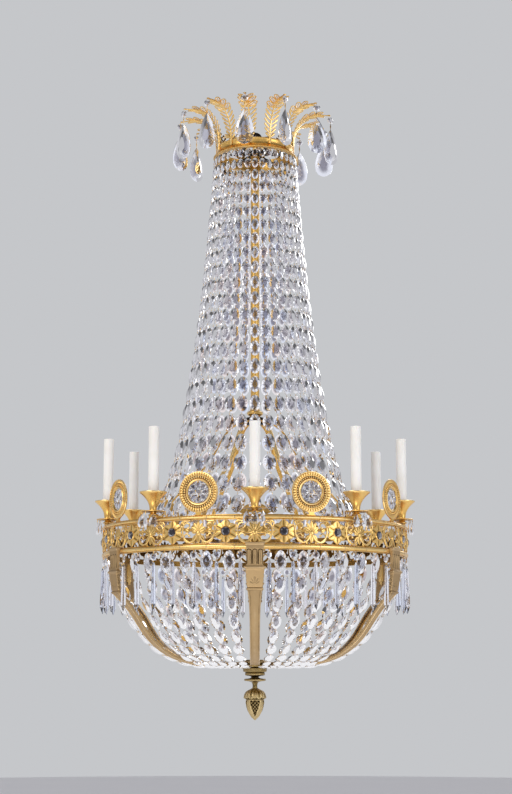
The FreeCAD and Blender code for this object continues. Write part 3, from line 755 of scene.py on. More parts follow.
def set_along(stone: Casting, first: Points, second: Points, yaw: float = 0.0) -> Casting:
    """Places a stone between two points of the front plane.

    Args:
        stone: cut about the origin as across, outward and up.
        first: radius and level of its upper end.
        second: radius and level of its lower end.
        yaw: turn about its own length, in radians.

    Returns:
        The stone at the front.
    """
    first, second = np.asarray(first, float), np.asarray(second, float)
    up = unit((first - second)[None])[0]
    out = np.array([up[1], -up[0]])
    middle = (first + second) / 2
    cos, sin = math.cos(yaw), math.sin(yaw)

    def place(points: Points) -> Points:
        """Turns the stone on its length and stands it between the two points."""
        across = points[:, 0] * cos - points[:, 1] * sin
        outward = points[:, 0] * sin + points[:, 1] * cos
        spot = middle + outward[:, None] * out + points[:, 2][:, None] * up
        return np.stack([across, -spot[:, 0], spot[:, 1]], axis=1)

    return stone.shaped(place)


def pin(first: Points, second: Points, radius: float = 0.42) -> Casting:
    """A brass pin with a knob between two points of radius and level."""
    first, second = np.asarray(first, float), np.asarray(second, float)
    shares = np.array([0, 0.3, 0.42, 0.5, 0.58, 0.7, 1])[:, None]
    sizes = np.array([1, 1, 1.9, 2.3, 1.9, 1, 1]) * radius
    return bar(fronted(first + (second - first) * shares), sizes, sizes, (1, 0, 0), sides=6)


@dataclass
class Strands:
    """Graded strands of cut beads, equal all the way round.

    Attributes:
        name: name of the beads' piece.
        node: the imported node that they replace.
        knots: radii and levels of a strand's middle line.
        beads: beads on a strand.
        taper: last spacing over the first.
        widest: width of the widest bead.
        turns: angles of the strands.
        spacing: angle between neighbours, which limits the widths.
        seed: start of the draw of tones and turns.
        cut: how the beads are cut.
        fill: share of the spacing that a bead's height fills.
        slender: most that a bead's height may be over its width.
        deep: half depth of a bead over its width.
        warming: how far the last beads' tones are drawn to the warm end.
    """

    name: str
    node: str
    knots: Sequence[tuple[float, float]]
    beads: int
    taper: float
    widest: float
    turns: Sequence[float]
    spacing: float
    seed: int
    cut: CutStone
    fill: float
    slender: float
    deep: float
    warming: float = 0.0

    def build(self) -> None:
        """Cuts the beads and strings them on pins."""
        draw = np.random.default_rng(self.seed)
        curve = natural_path(self.knots, 400)
        marks = evenly(curve, graded_shares(self.beads, self.taper))
        pitch = np.linalg.norm(np.diff(marks, axis=0), axis=1)
        beads, pins = Casting(), Casting()
        warmth = 1 - self.warming * np.linspace(0, 1, self.beads) ** 1.5
        for first, second, length, share in zip(marks, marks[1:], pitch, warmth):
            middle = (first + second) / 2
            room = middle[0] * math.radians(self.spacing) * 0.94
            width = min(self.widest * length / pitch.max(), room)
            high = min(length * self.fill, width * self.slender)
            tip = (second - first) * (1 - high / length) / 2
            for turn in self.turns:
                stone = self.cut.cut(width / 2, high / 2, width * self.deep, draw.random() * share)
                hung = set_along(stone, first + tip, second - tip, draw.normal(0, 0.14))
                beads.join(hung.around([turn]))
            pins.join(pin(first - tip * 0.6, first + tip * 1.3).around(self.turns))
        beads.finish(self.name, Finish.CRYSTAL, self.node)
        pins.finish(self.name + "_pins", Finish.GILT)


def bay_turns(first: float, step: float, number: int) -> list[float]:
    """Angles that repeat in each of the six bays between the pilasters."""
    return [360 / BAYS * bay + first + step * k for bay in range(BAYS) for k in range(number)]


BAY_MARGIN = 5
BAY_STEP = 50 / 6
TENT = Strands(
    "tent_strands", "tent_beads",
    ((101, -50), (117, -250), (137, -450), (164, -650), (196, -815),
     (246, -969)),
    23, 1.9, 30, all_round(36), 10, 11, TENT_BEAD, 0.9, 1.55, 0.14)
BOWL = Strands(
    "basket_strands", "basket_beads",
    ((359, -1056.5), (347, -1120), (318, -1177), (280, -1233), (236, -1276),
     (186, -1301), (125, -1313), (60, -1312)),
    11, 0.56, 28, bay_turns(BAY_MARGIN + BAY_STEP / 2, BAY_STEP, 6), BAY_STEP, 12,
    BOWL_BEAD, 0.93, 1.75, 0.19, warming=0.95)


@dataclass
class Icicles:
    """Three-sided icicle prisms, each under a small round bead.

    Attributes:
        radius: circle that they hang on.
        top: level of the lower moulding's underside.
        bead: height of the bead with its pins.
        length: length of a prism.
        half: half width of a prism.
        seed: start of the draw of tones and turns.
    """

    radius: float = 366.0
    top: float = -1056.5
    bead: float = 24.0
    length: float = 108.0
    half: float = 6.5
    seed: int = 13

    def prism(self) -> Casting:
        """A bevelled three-sided prism with a point at its foot."""
        neck = self.top - self.bead
        sections = []
        for drop, scale in ((1, 0.3), (7, 0.62), (40, 0.78), (88, 1), (92, 0.98), (107.5, 0.06)):
            ring = []
            for corner in range(3):
                for side, share in ((-0.2, 1), (0.2, 1), (math.pi / 3, 0.7)):
                    angle = 2 * math.pi * corner / 3 + side
                    reach = self.half * scale * share
                    ring.append(front(self.radius + reach * math.cos(angle),
                                      neck - drop * self.length / 108, reach * math.sin(angle)))
            sections.append(ring)
        return loft(np.array(sections)[::-1])

    def build(self) -> None:
        """Hangs the icicles in their bays."""
        draw = np.random.default_rng(self.seed)
        turns = bay_turns(BAY_MARGIN, BAY_STEP, 7)
        neck = self.top - self.bead
        beads, prisms, pins = Casting(), Casting(), Casting()
        prism = self.prism()
        marks = prism.all_marks()
        # The heart mark paints shade along the middle of each face.
        marks[:, 1] = np.tile([0, 0, 1], len(marks) // 3)
        for turn in turns:
            tone = draw.random()
            stone = ROUND_BEAD.cut(8.4, 9.4, 3, tone)
            beads.join(set_along(stone, (self.radius, self.top - 3), (self.radius, neck + 3),
                                 draw.normal(0, 0.25)).around([turn]))
            marks[:, 0] = 0.4 + 0.6 * tone
            prisms.add(spun(prism.all_points(), turn), prism.faces, marks)
        for first, second in ((self.top + 1, self.top - 4.5), (neck + 4.5, neck - 2)):
            pins.join(pin((self.radius, first), (self.radius, second)).around(turns))
        beads.finish("icicle_round_beads", Finish.CRYSTAL, "icicle_beads")
        prisms.finish("icicle_spears", Finish.CRYSTAL, "icicle_prisms")
        pins.finish("icicle_pins", Finish.GILT)


# ------------------------------------------------------------------ crown and stem


@dataclass
class Crown:
    """Crown band with its palm plumes and the pendants that swing from them.

    Attributes:
        number: plumes round the band.
        turn: angle of the plume nearest the front.
        knots: radii and levels of a plume's midrib.
        barbs: start along the rib, reach and rise of each pair of barbs.
        loops: start along the rib, length, lean in degrees and breadth of each pair of loops.
        tip: radius and level of the point that a pendant swings on.
        turned: how far each pendant has turned on its hook, in degrees.
        bead: half width, half height and half depth of a pendant's bead.
        drop: half width, half height and half depth of a pendant's drop.
    """

    number: int = 12
    turn: float = -7.5
    knots: tuple[tuple[float, float], ...] = (
        (97.9, -38), (98.2, -8), (101.7, 12), (106.7, 24), (117.7, 41), (130.7, 51),
        (157.7, 58.5), (191.5, 55.6))
    barbs: tuple[tuple[float, float, float], ...] = (
        (17, 11, 10), (27, 14, 12), (37, 16, 13), (47.5, 17.5, 14), (58, 18.5, 15),
        (69, 19, 15), (80, 19.5, 15))
    loops: tuple[tuple[float, float, float, float], ...] = (
        (90, 25, 54, 6.5), (101, 30, 39, 7), (115, 33, 25, 6.5))
    tip: tuple[float, float] = (191.67, 54.5)
    turned: tuple[float, ...] = (0, 22, -48, -46, 62, 14, 0, -12, -10, -45, 30, 9)
    bead: tuple[float, float, float] = (9.2, 8.5, 3.4)
    drop: tuple[float, float, float] = (22.9, 45.9, 7.6)

    def turns(self) -> list[float]:
        """Angles of the plumes."""
        return all_round(self.number, self.turn)

    def ring(self) -> Casting:
        """The band with its beaded top and flared lip."""
        profile = (
            (92, -50), (104.6, -50), (105, -49.2), (104.4, -48), (101.5, -45.6),
            (98.6, -42), (97.3, -40.2), (96.6, -39.4), (96.2, -38.6), (96.2, -27.4),
            (96.6, -26.6), (97.2, -25.8), (97.2, -24.2), (96.5, -23.2), (95, -23), (92, -23))
        # The tones paint shade in its grooves and under it, and highlights on its lip and beaded top.
        tones = (0.2, 0.3, 0.8, 0.6, 0.5, 0.4, 0.7, 0.25, 0.6, 0.6, 0.3, 0.8, 0.8, 0.6, 0.5, 0.4)
        return lathe(profile, 120, closed=True, tones=tones)

    def plume(self) -> Casting:
        """One palm plume: a midrib, curled barbs and open loops near the tip."""
        leaf = Casting()
        curve = natural_path(self.knots, 121)
        lengths = reached(curve)
        slope = unit(np.gradient(curve, axis=0))

        def on_leaf(across: Points, along: Points, proud: float = 0.0) -> tuple[Points, Points]:
            """Points and outward normals of the leaf's curved face."""
            middle, run = (np.stack([np.interp(along, lengths, column) for column in values.T], axis=1)
                           for values in (curve, slope))
            out = -square_to(run)
            droop = 0.004 * np.asarray(across) ** 2
            return fronted(middle) + np.outer(across, (1, 0, 0)) + out * (proud - droop)[:, None], out

        rib, facing = on_leaf(np.zeros(41), np.linspace(0, lengths[-1], 41), 0.3)
        leaf.join(bar(rib, np.linspace(2.9, 1.3, 41), 1.4, facing))
        for start, reach, rise in self.barbs:
            share = np.linspace(0, 1, 9)
            for hand in (-1, 1):
                path, out = on_leaf(hand * reach * share ** 0.85, start + rise * share ** 1.3, 0.1)
                sturdy = max(1, 1.45 - 0.012 * start)
                widths = sturdy * np.array((1.5, 1.6, 1.8, 2.1, 2.4, 2.7, 2.9, 2.6, 1.2))
                leaf.join(bar(path, widths, 1.25 * sturdy, out))
        for start, length, lean, broad in self.loops:
            angles = circle(26)
            grow = (1 - np.cos(angles)) / 2
            for hand in (-1, 1):
                turn = math.radians(lean)
                ahead, beside = grow * length, broad * np.sin(angles) * grow ** 0.4
                bend = 0.0025 * ahead ** 2
                across = hand * (ahead * math.sin(turn) + beside * math.cos(turn) + bend)
                path, out = on_leaf(across, start + ahead * math.cos(turn) - beside * math.sin(turn))
                leaf.join(bar(path, 1.6, 1.2, out, sides=6, looped=True))
                share = np.linspace(0, 0.8, 7) * length
                vein, out = on_leaf(hand * (share * math.sin(turn) + 0.0025 * share ** 2),
                                    start + share * math.cos(turn))
                leaf.join(bar(vein, 1.1, 0.8, out, sides=6))
        angles = circle(16)
        eye = np.array(front(188, 56.6)) + 3 * np.stack(
            [np.sin(angles), -np.cos(angles), np.zeros(16)], axis=1)
        leaf.join(bar(eye, 0.8, 0.8, (0, 0, 1), sides=6, looped=True))
        return leaf

    def pendant(self, turned: float) -> tuple[Casting, Casting]:
        """A round bead, a link and a large pear drop, as glass and as wire.

        Args:
            turned: how far it has turned on its hook, in degrees.

        Returns:
            The glass and the wire, at the front.
        """
        radius, top = self.tip
        yaw = -math.radians(turned)
        bead, drop = ROUND_BEAD.cut(*self.bead, 0.5), LARGE_PEAR.cut(*self.drop, 0.72)
        glass = set_along(bead, (radius, top - 2.8), (radius, top - 19.8), yaw)
        glass.join(set_along(drop, (radius, top - 35.4), (radius, top - 127.4), yaw))
        wire = pin((radius, top - 1.1), (radius, top - 5.4), 0.3)
        wire.join(pin((radius, top - 15.4), (radius, top - 39.4), 0.7))
        return glass, wire

    def build(self) -> None:
        """Builds the band, the plumes and one pendant for each body."""
        self.ring().finish("crown_ring", Finish.GILT, "crown_band")
        self.plume().around(self.turns()).finish("palm_plumes", Finish.GILT, "crown_plumes")
        for k, (turn, turned) in enumerate(zip(self.turns(), self.turned), start=1):
            glass, wire = self.pendant(turned)
            body = "pendant_%02d" % k
            glass.around([turn]).finish(
                "pear_pendant_%02d" % k, Finish.CRYSTAL, "crown_pendant_%02d" % k, body=body)
            wire.around([turn]).finish("pear_pendant_wire_%02d" % k, Finish.GILT, body=body)


@dataclass
class Stem:
    """Gilt tube on the axis, its turned knob and the curved stays.

    Attributes:
        radius: outside of the tube.
        top: level of the tube's top.
        foot: level of the tube's foot.
        stays: radii and levels of a stay's middle line.
    """

    radius: float = 11.0
    top: float = -40.0
    foot: float = -690.0
    stays: tuple[tuple[float, float], ...] = (
        (22.6, -719), (54, -733), (105, -810), (160, -872), (213, -933), (235, -967.5))

    def build(self) -> None:
        """Builds the tube, the knob and the stays."""
        # The collar's tones paint shade in its groove and highlights on its rounds.
        collar = ((3, 0, 0.8), (7, 0, 0.8), (9, 0.8, 0.2), (11, 0.5, 0.6))
        shell = [(7, self.foot, 0.3), (self.radius - 1, self.foot, 0.3)]
        shell += [(self.radius - 0.1 - lift, self.foot + step, tone) for step, lift, tone in collar]
        shell += [(self.radius - 0.1 - lift, self.top - step, tone) for step, lift, tone in collar[::-1]]
        shell += [(self.radius - 1, self.top, 0.3), (7, self.top, 0.3)]
        profile = np.array(shell)
        lathe(profile[:, :2], 40, closed=True, tones=profile[:, 2]).finish(
            "stem_casing", Finish.GILT, "stem_tube")
        knob = (
            (8, -711), (13, -710.6), (14, -708.5), (12, -707), (14, -705.5), (18.5, -703),
            (19.9, -700), (19.2, -697), (16, -694.6), (12.6, -693.6), (12.2, -692.4), (12.6, -691),
            (11, -690))
        # The knob's tones paint shade in its grooves and highlights on its swells.
        lathe(knob, 40, tones=(0.3, 0.6, 0.7, 0.2, 0.5, 0.7, 0.8, 0.7, 0.5, 0.2, 0.5, 0.7, 0.4)).finish(
            "stem_turned_knob", Finish.GILT, "stem_knob")
        curve = natural_path(self.stays, 40)
        stay = bar(fronted(curve), 5.6, 2.2, square_to(np.gradient(curve, axis=0)), sides=12)
        # Raises the stays' tones, so less painted shade falls at their edges.
        stay.marks[0][:, 0] = 0.35 + 0.6 * stay.marks[0][:, 0]
        stay.around(all_round(6, 30)).finish("curved_stays", Finish.GILT, "tent_stays")


# ------------------------------------------------------------------ gallery


@dataclass
class Gallery:
    """Two mouldings with a pierced frieze of rosettes and sprays between them.

    Attributes:
        radius: outside of the mouldings.
        depth: their radial depth.
        back: radius that the frieze lies on.
        low_height: height of the lower moulding, whose middle is the gallery's level.
        high_height: height of the upper moulding.
        half: half height of the frieze.
        straps: straps on each moulding.
        motifs: rosettes in the frieze, and as many sprays.
    """

    radius: float = 369.0
    depth: float = 12.0
    back: float = 364.8
    low_height: float = 13.0
    high_height: float = 10.0
    half: float = 26.25
    straps: int = 36
    motifs: int = 18

    def moulding(self, level: float, height: float) -> Casting:
        """A half-round moulding with a fillet above and below.

        Args:
            level: level of its underside.
            height: its height.

        Returns:
            The moulding.
        """
        inner = self.radius - self.depth
        profile = [(inner, level), (self.radius - 3.6, level), (self.radius - 3.2, level + 1)]
        # The tones paint shade at the fillets and a highlight along the middle of the round.
        tones = [0.2, 0.5, 0.15]
        for share in np.linspace(0, 1, 9):
            angle = math.pi * (share - 0.5)
            profile.append((self.radius - 3.4 + 3.4 * math.cos(angle),
                            level + height / 2 + (height / 2 - 1.6) * math.sin(angle)))
            tones.append(0.45 + 0.4 * math.cos(angle))
        profile += [(self.radius - 3.2, level + height - 1), (self.radius - 3.6, level + height),
                    (inner, level + height)]
        tones += [0.15, 0.5, 0.2]
        return lathe(profile, 180, closed=True, tones=tones)

    def joints(self, level: float, height: float) -> Casting:
        """Thin browned straps where a moulding's lengths meet."""
        angles = np.linspace(-1.45, 1.45, 9)
        radii = self.radius - 3.5 + 3.55 * np.cos(angles)
        levels = level + height / 2 + (height / 2 - 1.7) * np.sin(angles)
        strap = bar(fronted(np.stack([radii, levels], axis=1)), 0.9, 0.35, (0, -1, 0), sides=6)
        return strap.around(all_round(self.straps, 3.1))

    def petal(self, length: float, width: float, lift: float, bearing: float, start: float = 0.0) -> Casting:
        """A pointed, ridged petal as across, outward and up.

        Args:
            length: from the middle to the tip.
            width: full width.
            lift: how far its ridge stands out.
            bearing: direction from straight up, in degrees.
            start: distance of its root from the middle.

        Returns:
            The petal about the motif's middle.
        """
        sections = []
        for share, wide in ((0, 0.35), (0.2, 0.76), (0.42, 1), (0.64, 0.97), (0.82, 0.72), (0.93, 0.38),
                            (1, 0.04)):
            along = start + (length - start) * share
            half = width / 2 * wide
            high = lift * (1 - 0.55 * share)
            sections.append([
                (-half, 0, along), (-half, high * 0.55, along), (-half * 0.55, high * 0.8, along),
                (0, high * (0.55 if 0.1 < share < 0.9 else 0.8), along),
                (half * 0.55, high * 0.8, along), (half, high * 0.55, along), (half, 0, along)])
        # The tones paint shade at its edges and in its middle groove, and highlights on its shoulders.
        leaf = loft(np.array(sections), tone=np.array((0.05, 0.4, 0.95, 0.02, 0.95, 0.4, 0.05)))
        angle = math.radians(bearing)
        cos, sin = math.cos(angle), math.sin(angle)

        def turn(points: Points) -> Points:
            """Turns the petal in the motif's plane."""
            return np.stack([points[:, 0] * cos + points[:, 2] * sin, points[:, 1],
                             -points[:, 0] * sin + points[:, 2] * cos], axis=1)

        return leaf.shaped(turn)

    def rosette(self) -> Casting:
        """A six-petalled flower round a square bezel."""
        flower = Casting()
        for bearing in all_round(6):
            flower.join(self.petal(26, 20, 5.4, bearing, 6))
        bezel = ((0.1, 0), (12, 0), (12.2, 2.4), (11.4, 4.8), (10.6, 5.6), (9.9, 4.9), (0.1, 4.6))
        # The bezel's tones paint a highlight on its rim and shade round its foot and inside it.
        return flower.join(lathe(bezel, 32, tones=(0.2, 0.2, 0.1, 0.6, 0.95, 0.2, 0.1)).faced())

    def scroll(self, knots: Sequence[tuple[float, float]], size: float, tail: float) -> Casting:
        """A tapering scroll in the frieze's plane, with an eye at its end.

        Args:
            knots: points across and up.
            size: half width at its root.
            tail: half width at its end.

        Returns:
            The scroll as across, outward and up.
        """
        curve = natural_path(knots, 26)
        path = np.stack([curve[:, 0], np.full(26, 1.4), curve[:, 1]], axis=1)
        stem = bar(path, np.linspace(size, tail, 26), 1.5, (0, 1, 0))
        # The eye's tones paint a highlight on its dome.
        eye = lathe(((0.1, 0), (2.5, 0.2), (2.7, 1.8), (1.8, 3), (0.1, 3.5)), 12,
                    tones=(0.3, 0.3, 0.5, 0.8, 0.95)).faced()
        return stem.join(eye.moved(path[-1, 0], 0, path[-1, 2]))

    def spray(self) -> Casting:
        """A palmette with scrolls on both sides and a small one upside down below."""
        motif = Casting()
        for bearing, reach in ((0, 27), (27, 25), (-27, 25), (54, 21), (-54, 21),
                               (82, 16), (-82, 16)):
            motif.join(self.petal(reach, 7.8, 3.2, bearing, 4).moved(0, 0, -2))
        for bearing in (180, 140, -140):
            motif.join(self.petal(22, 8.6, 3, bearing, 3).moved(0, 0, -3))
        # The boss's tones paint a highlight on its dome and shade at its foot.
        boss = lathe(((0.1, 0), (5.4, 0), (5.6, 2.4), (4.2, 3.8), (2.6, 4.2), (0.1, 4.6)), 20,
                     tones=(0.2, 0.2, 0.3, 0.9, 0.6, 0.95))
        motif.join(boss.faced().moved(0, 0, -3))
        for hand in (-1, 1):
            for size, tail, knots in (
                (2.5, 1.6, ((3, -8), (10, -19), (21, -24), (32, -19), (34, -9),
                            (27, -4), (21.5, -9))),
                (2.4, 1.6, ((22, -24), (35, -12), (38, 4), (33, 17), (24, 19),
                            (20.5, 12), (25, 8))),
                (2, 1.4, ((20, 25), (28, 23.5), (37, 24), (42, 18), (40, 12))),
            ):
                motif.join(self.scroll([(hand * x, z) for x, z in knots], size, tail))
            for across, up, bearing, reach, wide in (
                (22, -1, 62, 13, 7), (33.5, 14, 20, 11, 6), (36, -4, 118, 10, 6),
                (12, -19.5, 195, 8, 6),
            ):
                motif.join(self.petal(reach, wide, 2.8, hand * bearing).moved(hand * across, 0.6, up))
        return motif

    def build(self) -> None:
        """Builds the mouldings, the frieze and its stones."""
        low = (GALLERY - self.low_height / 2, self.low_height)
        foot = GALLERY + self.low_height / 2
        high = (foot + 2 * self.half, self.high_height)
        self.moulding(*low).finish("lower_moulding", Finish.GILT, "gallery_lower_moulding")
        self.moulding(*high).finish("upper_moulding", Finish.GILT, "gallery_upper_moulding")
        self.joints(*low).join(self.joints(*high)).finish("moulding_straps", Finish.ANTIQUE)
        stone = SQUARE_STONE.cut(8.5, 8.5, 2.6, 0.5).moved(0, 5.8, 0)
        for motif, first, name, finish, stands_for in (
            (self.rosette(), 10, "six_petal_rosettes", Finish.GILT, "frieze_rosettes"),
            (self.spray(), 0, "palmette_sprays", Finish.GILT, "frieze_palmettes"),
            (stone, 10, "square_stones", Finish.STONE, "rosette_stones"),
        ):
            laid = motif.moved(0, 0, foot + self.half).shaped(lambda points: wrapped(points, self.back))
            laid.around(all_round(self.motifs, first)).finish(name, finish, stands_for)
        ring = ((228, -975), (251, -975), (251.8, -974), (251.8, -970.2), (251, -969),
                (228, -969), (227.4, -970), (227.4, -974))
        lathe(ring, 120, closed=True).finish("tent_foot_ring", Finish.GILT, "tent_ring")
        self.arms().finish("candle_arms", Finish.GILT, "gallery_bridges")

    def arms(self) -> Casting:
        """Flat bars with eased edges, which carry the candles and join the tent's ring."""
        sections = []
        for radius, half in ((364.9, 6.2), (364.2, 6.9), (230, 6.9), (229.2, 6.2)):
            sections.append([
                front(radius, -980.9, -half), front(radius, -980.9, half), front(radius, -976, half),
                front(radius, -975.1, half - 0.9), front(radius, -975.1, 0.9 - half),
                front(radius, -976, -half)])
        # The tones paint shade along the bars' undersides and highlights on their eased top edges.
        return loft(np.array(sections), tone=np.array((0.35, 0.35, 0.8, 0.6, 0.6, 0.8))).around(
            all_round(LIGHTS))


@dataclass
class Medallions:
    """Ring frames between the candles, each round a cut-glass rosette.

    Attributes:
        eye: radius of a frame's glass.
        face: radius of the gallery's face, which the frames stand on.
        level: level of their middles.
        flutes: flutes of a frame's border.
        pearls: beads of the ring inside it.
        petals: stones round the middle of the glass.
    """

    eye: float = 26.0
    face: float = 369.0
    level: float = GALLERY + 121.0
    flutes: int = 44
    pearls: int = 40
    petals: int = 8

    def frame_casting(self) -> Casting:
        """The frame: a fluted border, a ring of beads and a plain bezel."""
        profile = (
            (self.eye, -5.6), (45, -5.6), (46, -4.4), (46, -2.6), (45.2, -1.4), (44, -1.2),
            (43.2, -2.6), (38, -2.4), (37.2, -1.2), (36.2, -1.2), (35.6, -3.4), (31, -3.4), (30.2, -1.4),
            (28.8, 0), (27.2, -0.2), (self.eye - 0.8, -1.8), (self.eye - 0.8, -4.6))
        # The border's tones paint highlights on its rounds and shade in its hollows.
        tones = (0.2, 0.3, 0.6, 0.8, 1, 0.8, 0.15, 0.15, 0.7, 0.8, 0.05, 0.05, 0.7, 1, 0.8, 0.5, 0.2)
        border = lathe(profile, 72, closed=True, tones=tones).faced()
        steps = np.linspace(37.4, 43.8, 5)
        for angle in np.radians(all_round(self.flutes)):
            path = np.stack([steps * math.sin(angle), np.full(5, -2.4), steps * math.cos(angle)], axis=1)
            border.join(bar(path, (1.6, 2.2, 2.5, 2.6, 2.2), (1, 1.5, 1.7, 1.7, 1.2), (0, 1, 0)))
        # Each bead's tones paint a highlight on its top.
        pearl = lathe(((0.2, -0.6), (1.9, 0.2), (2.3, 1.2), (1.8, 2.4), (0.3, 3)), 8,
                      tones=(0.1, 0.2, 0.5, 0.8, 1)).faced()
        for angle in np.radians(all_round(self.pearls)):
            border.join(pearl.moved(33.3 * math.sin(angle), -3.6, 33.3 * math.cos(angle)))
        return border

    def rosette(self) -> Casting:
        """The glass: a round stone with eight pear stones about it."""
        glass = Casting()
        for k, angle in enumerate(np.radians(all_round(self.petals))):
            petal = ROSETTE_PETAL.cut(6.6, 9.6, 2.4, 0.25 + 0.09 * k)
            cos, sin = math.cos(angle), math.sin(angle)

            def turn(points: Points, cos: float = cos, sin: float = sin) -> Points:
                """Sets the stone with its point to the middle."""
                along = 15.2 - points[:, 2]
                return np.stack([points[:, 0] * cos + along * sin, points[:, 1] - 3.6,
                                 -points[:, 0] * sin + along * cos], axis=1)

            glass.join(petal.shaped(turn))
        dot = ROUND_BEAD.cut(3, 3, 1.4, 0.9)
        for angle in np.radians(all_round(self.petals, 180 / self.petals)):
            glass.join(dot.moved(21.9 * math.sin(angle), -3.6, 21.9 * math.cos(angle)))
        return glass.join(ROUND_BEAD.cut(7.4, 7.4, 2.6, 0.6).moved(0, -1.4, 0))

    def build(self) -> None:
        """Sets the nine medallions between the candles."""
        turns = all_round(LIGHTS, 20)

        def stood(points: Points) -> Points:
            """Stands the medallion on the gallery's face."""
            return points * [1, -1, 1] + [0, -self.face, self.level]

        self.frame_casting().shaped(stood).around(turns).finish(
            "medallion_rings", Finish.GILT, "medallion_frames")
        self.rosette().shaped(stood).around(turns).finish(
            "medallion_rosettes", Finish.CRYSTAL, "medallion_crystals")
        foot = loft(np.array([[front(363, level, -half), front(363, level, half),
                               front(367.6, level, half), front(367.6, level, -half)]
                              for level, half in ((-981, 9.5), (-979.6, 9.5), (-978.8, 6.5), (-975.6, 5.5),
                                                  (-974.4, 8), (-972.9, 9.5))]), tone=0.6)
        foot.around(turns).finish("medallion_stands", Finish.GILT, "medallion_feet")


@dataclass
class Lights:
    """Nine candle lights: foot, drip collar with drops, trumpet cup and sleeve.

    Attributes:
        circle: circle of the candles.
        foot: level of their feet.
        holes: circle of the drops in a drip pan.
        seed: start of the draw of the drops' tones and turns.
    """

    circle: float = 357.0
    foot: float = -975.0
    holes: float = 24.5
    seed: int = 14

    def stand(self, profile: Sequence[tuple[float, float]], sides: int, tones: Sequence[float] | None,
              name: str, finish: Finish, stands_for: str) -> None:
        """Turns a piece, stands it at each candle and finishes it.

        Args:
            profile: radii and levels above the candles' feet.
            sides: steps round its axis.
            tones: a tone for each step of the profile.
            name: name of the piece.
            finish: the finish that it wears.
            stands_for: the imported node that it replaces.
        """
        lathe(profile, sides, tones=tones).moved(0, -self.circle, self.foot).around(
            all_round(LIGHTS)).finish(name, finish, stands_for)

    def build(self) -> None:
        """Builds every part of the lights."""
        foot = ((7, 0), (11.8, 0), (11.9, 1.4), (9.6, 2.4), (7.4, 4.2), (7, 5.8), (8.8, 6.8), (9.2, 7.4),
                (6, 7.5))
        # The foot's tones paint highlights on its rounds and shade in its waist.
        self.stand(foot, 28, (0.2, 0.5, 0.8, 0.4, 0.3, 0.3, 0.7, 0.6, 0.2),
                   "nozzle_feet", Finish.GILT, "nozzle_pedestals")
        collar = ((4, 7.5), (24, 7.5), (26.6, 8.4), (27, 9.4), (26.3, 9.9), (24.2, 9), (9, 8.7),
                  (4, 9.9))
        # The pan's tones paint a highlight on its rim and shade under it and in its dish.
        self.stand(collar, 40, (0.1, 0.2, 0.4, 0.7, 0.6, 0.2, 0.1, 0.1),
                   "drip_pans", Finish.GILT, "drip_collars")
        shares = np.linspace(0, 1, 15)
        cup = [(4, 10), (8.8, 10), (9.4, 10.8), (8.6, 12)]
        cup += list(zip(8.3 + 22.2 * shares ** 2.2, 13 + 37.6 * shares))
        cup += [(31.1, 51.4), (31.3, 52.6), (31, 53.6), (30, 53.9), (28.4, 53.2), (24, 49.2), (18.6, 44),
                (14, 40.2), (12.6, 39), (4, 39)]
        # The cup's tones rise towards its rim as a painted highlight and fall inside it as painted shade.
        tones = [0.2, 0.5, 0.6, 0.3, *(0.5 + 0.25 * shares), 0.8, 1, 1, 0.9, 0.5, 0.4, 0.3, 0.2, 0.2, 0.2]
        self.stand(cup, 48, tones, "trumpet_cups", Finish.GILT, "nozzle_cups")
        sleeve = ((11.6, 39), (12.1, 39.4), (12.15, 80), (12.15, 140), (12.15, 201.6), (11.9, 202.5),
                  (11.2, 202.95), (6, 202.8), (2, 202.8))
        self.stand(sleeve, 40, None, "white_sleeves", Finish.SLEEVE, "candle_sleeves")
        self.drops()

    def drops(self) -> None:
        """Small pear drops below each drip pan, three outside and two inside."""
        draw = np.random.default_rng(self.seed)
        glass, wire = Casting(), Casting()
        top = self.foot + 7.5
        for turn in all_round(LIGHTS):
            for bearing, beyond in ((0, 0), (46, 1), (-46, 1), (125, 0), (-125, 0)):
                angle = math.radians(bearing)
                radius = self.circle + self.holes * math.cos(angle) + beyond
                across = self.holes * math.sin(angle)
                drop = PEAR_DROP.cut(10.3, 15.2, 3.4, draw.random())
                hung = set_along(drop, (radius, top - 5.4), (radius, top - 35.8), draw.normal(0, 0.3))
                glass.join(hung.moved(across, 0, 0).around([turn]))
                hook = pin((radius, top + 0.4), (radius, top - 7), 0.5)
                wire.join(hook.moved(across, 0, 0).around([turn]))
        glass.finish("nozzle_pear_drops", Finish.CRYSTAL, "nozzle_drops")
        wire.finish("nozzle_drop_hooks", Finish.GILT)


# ------------------------------------------------------------------ basket metal


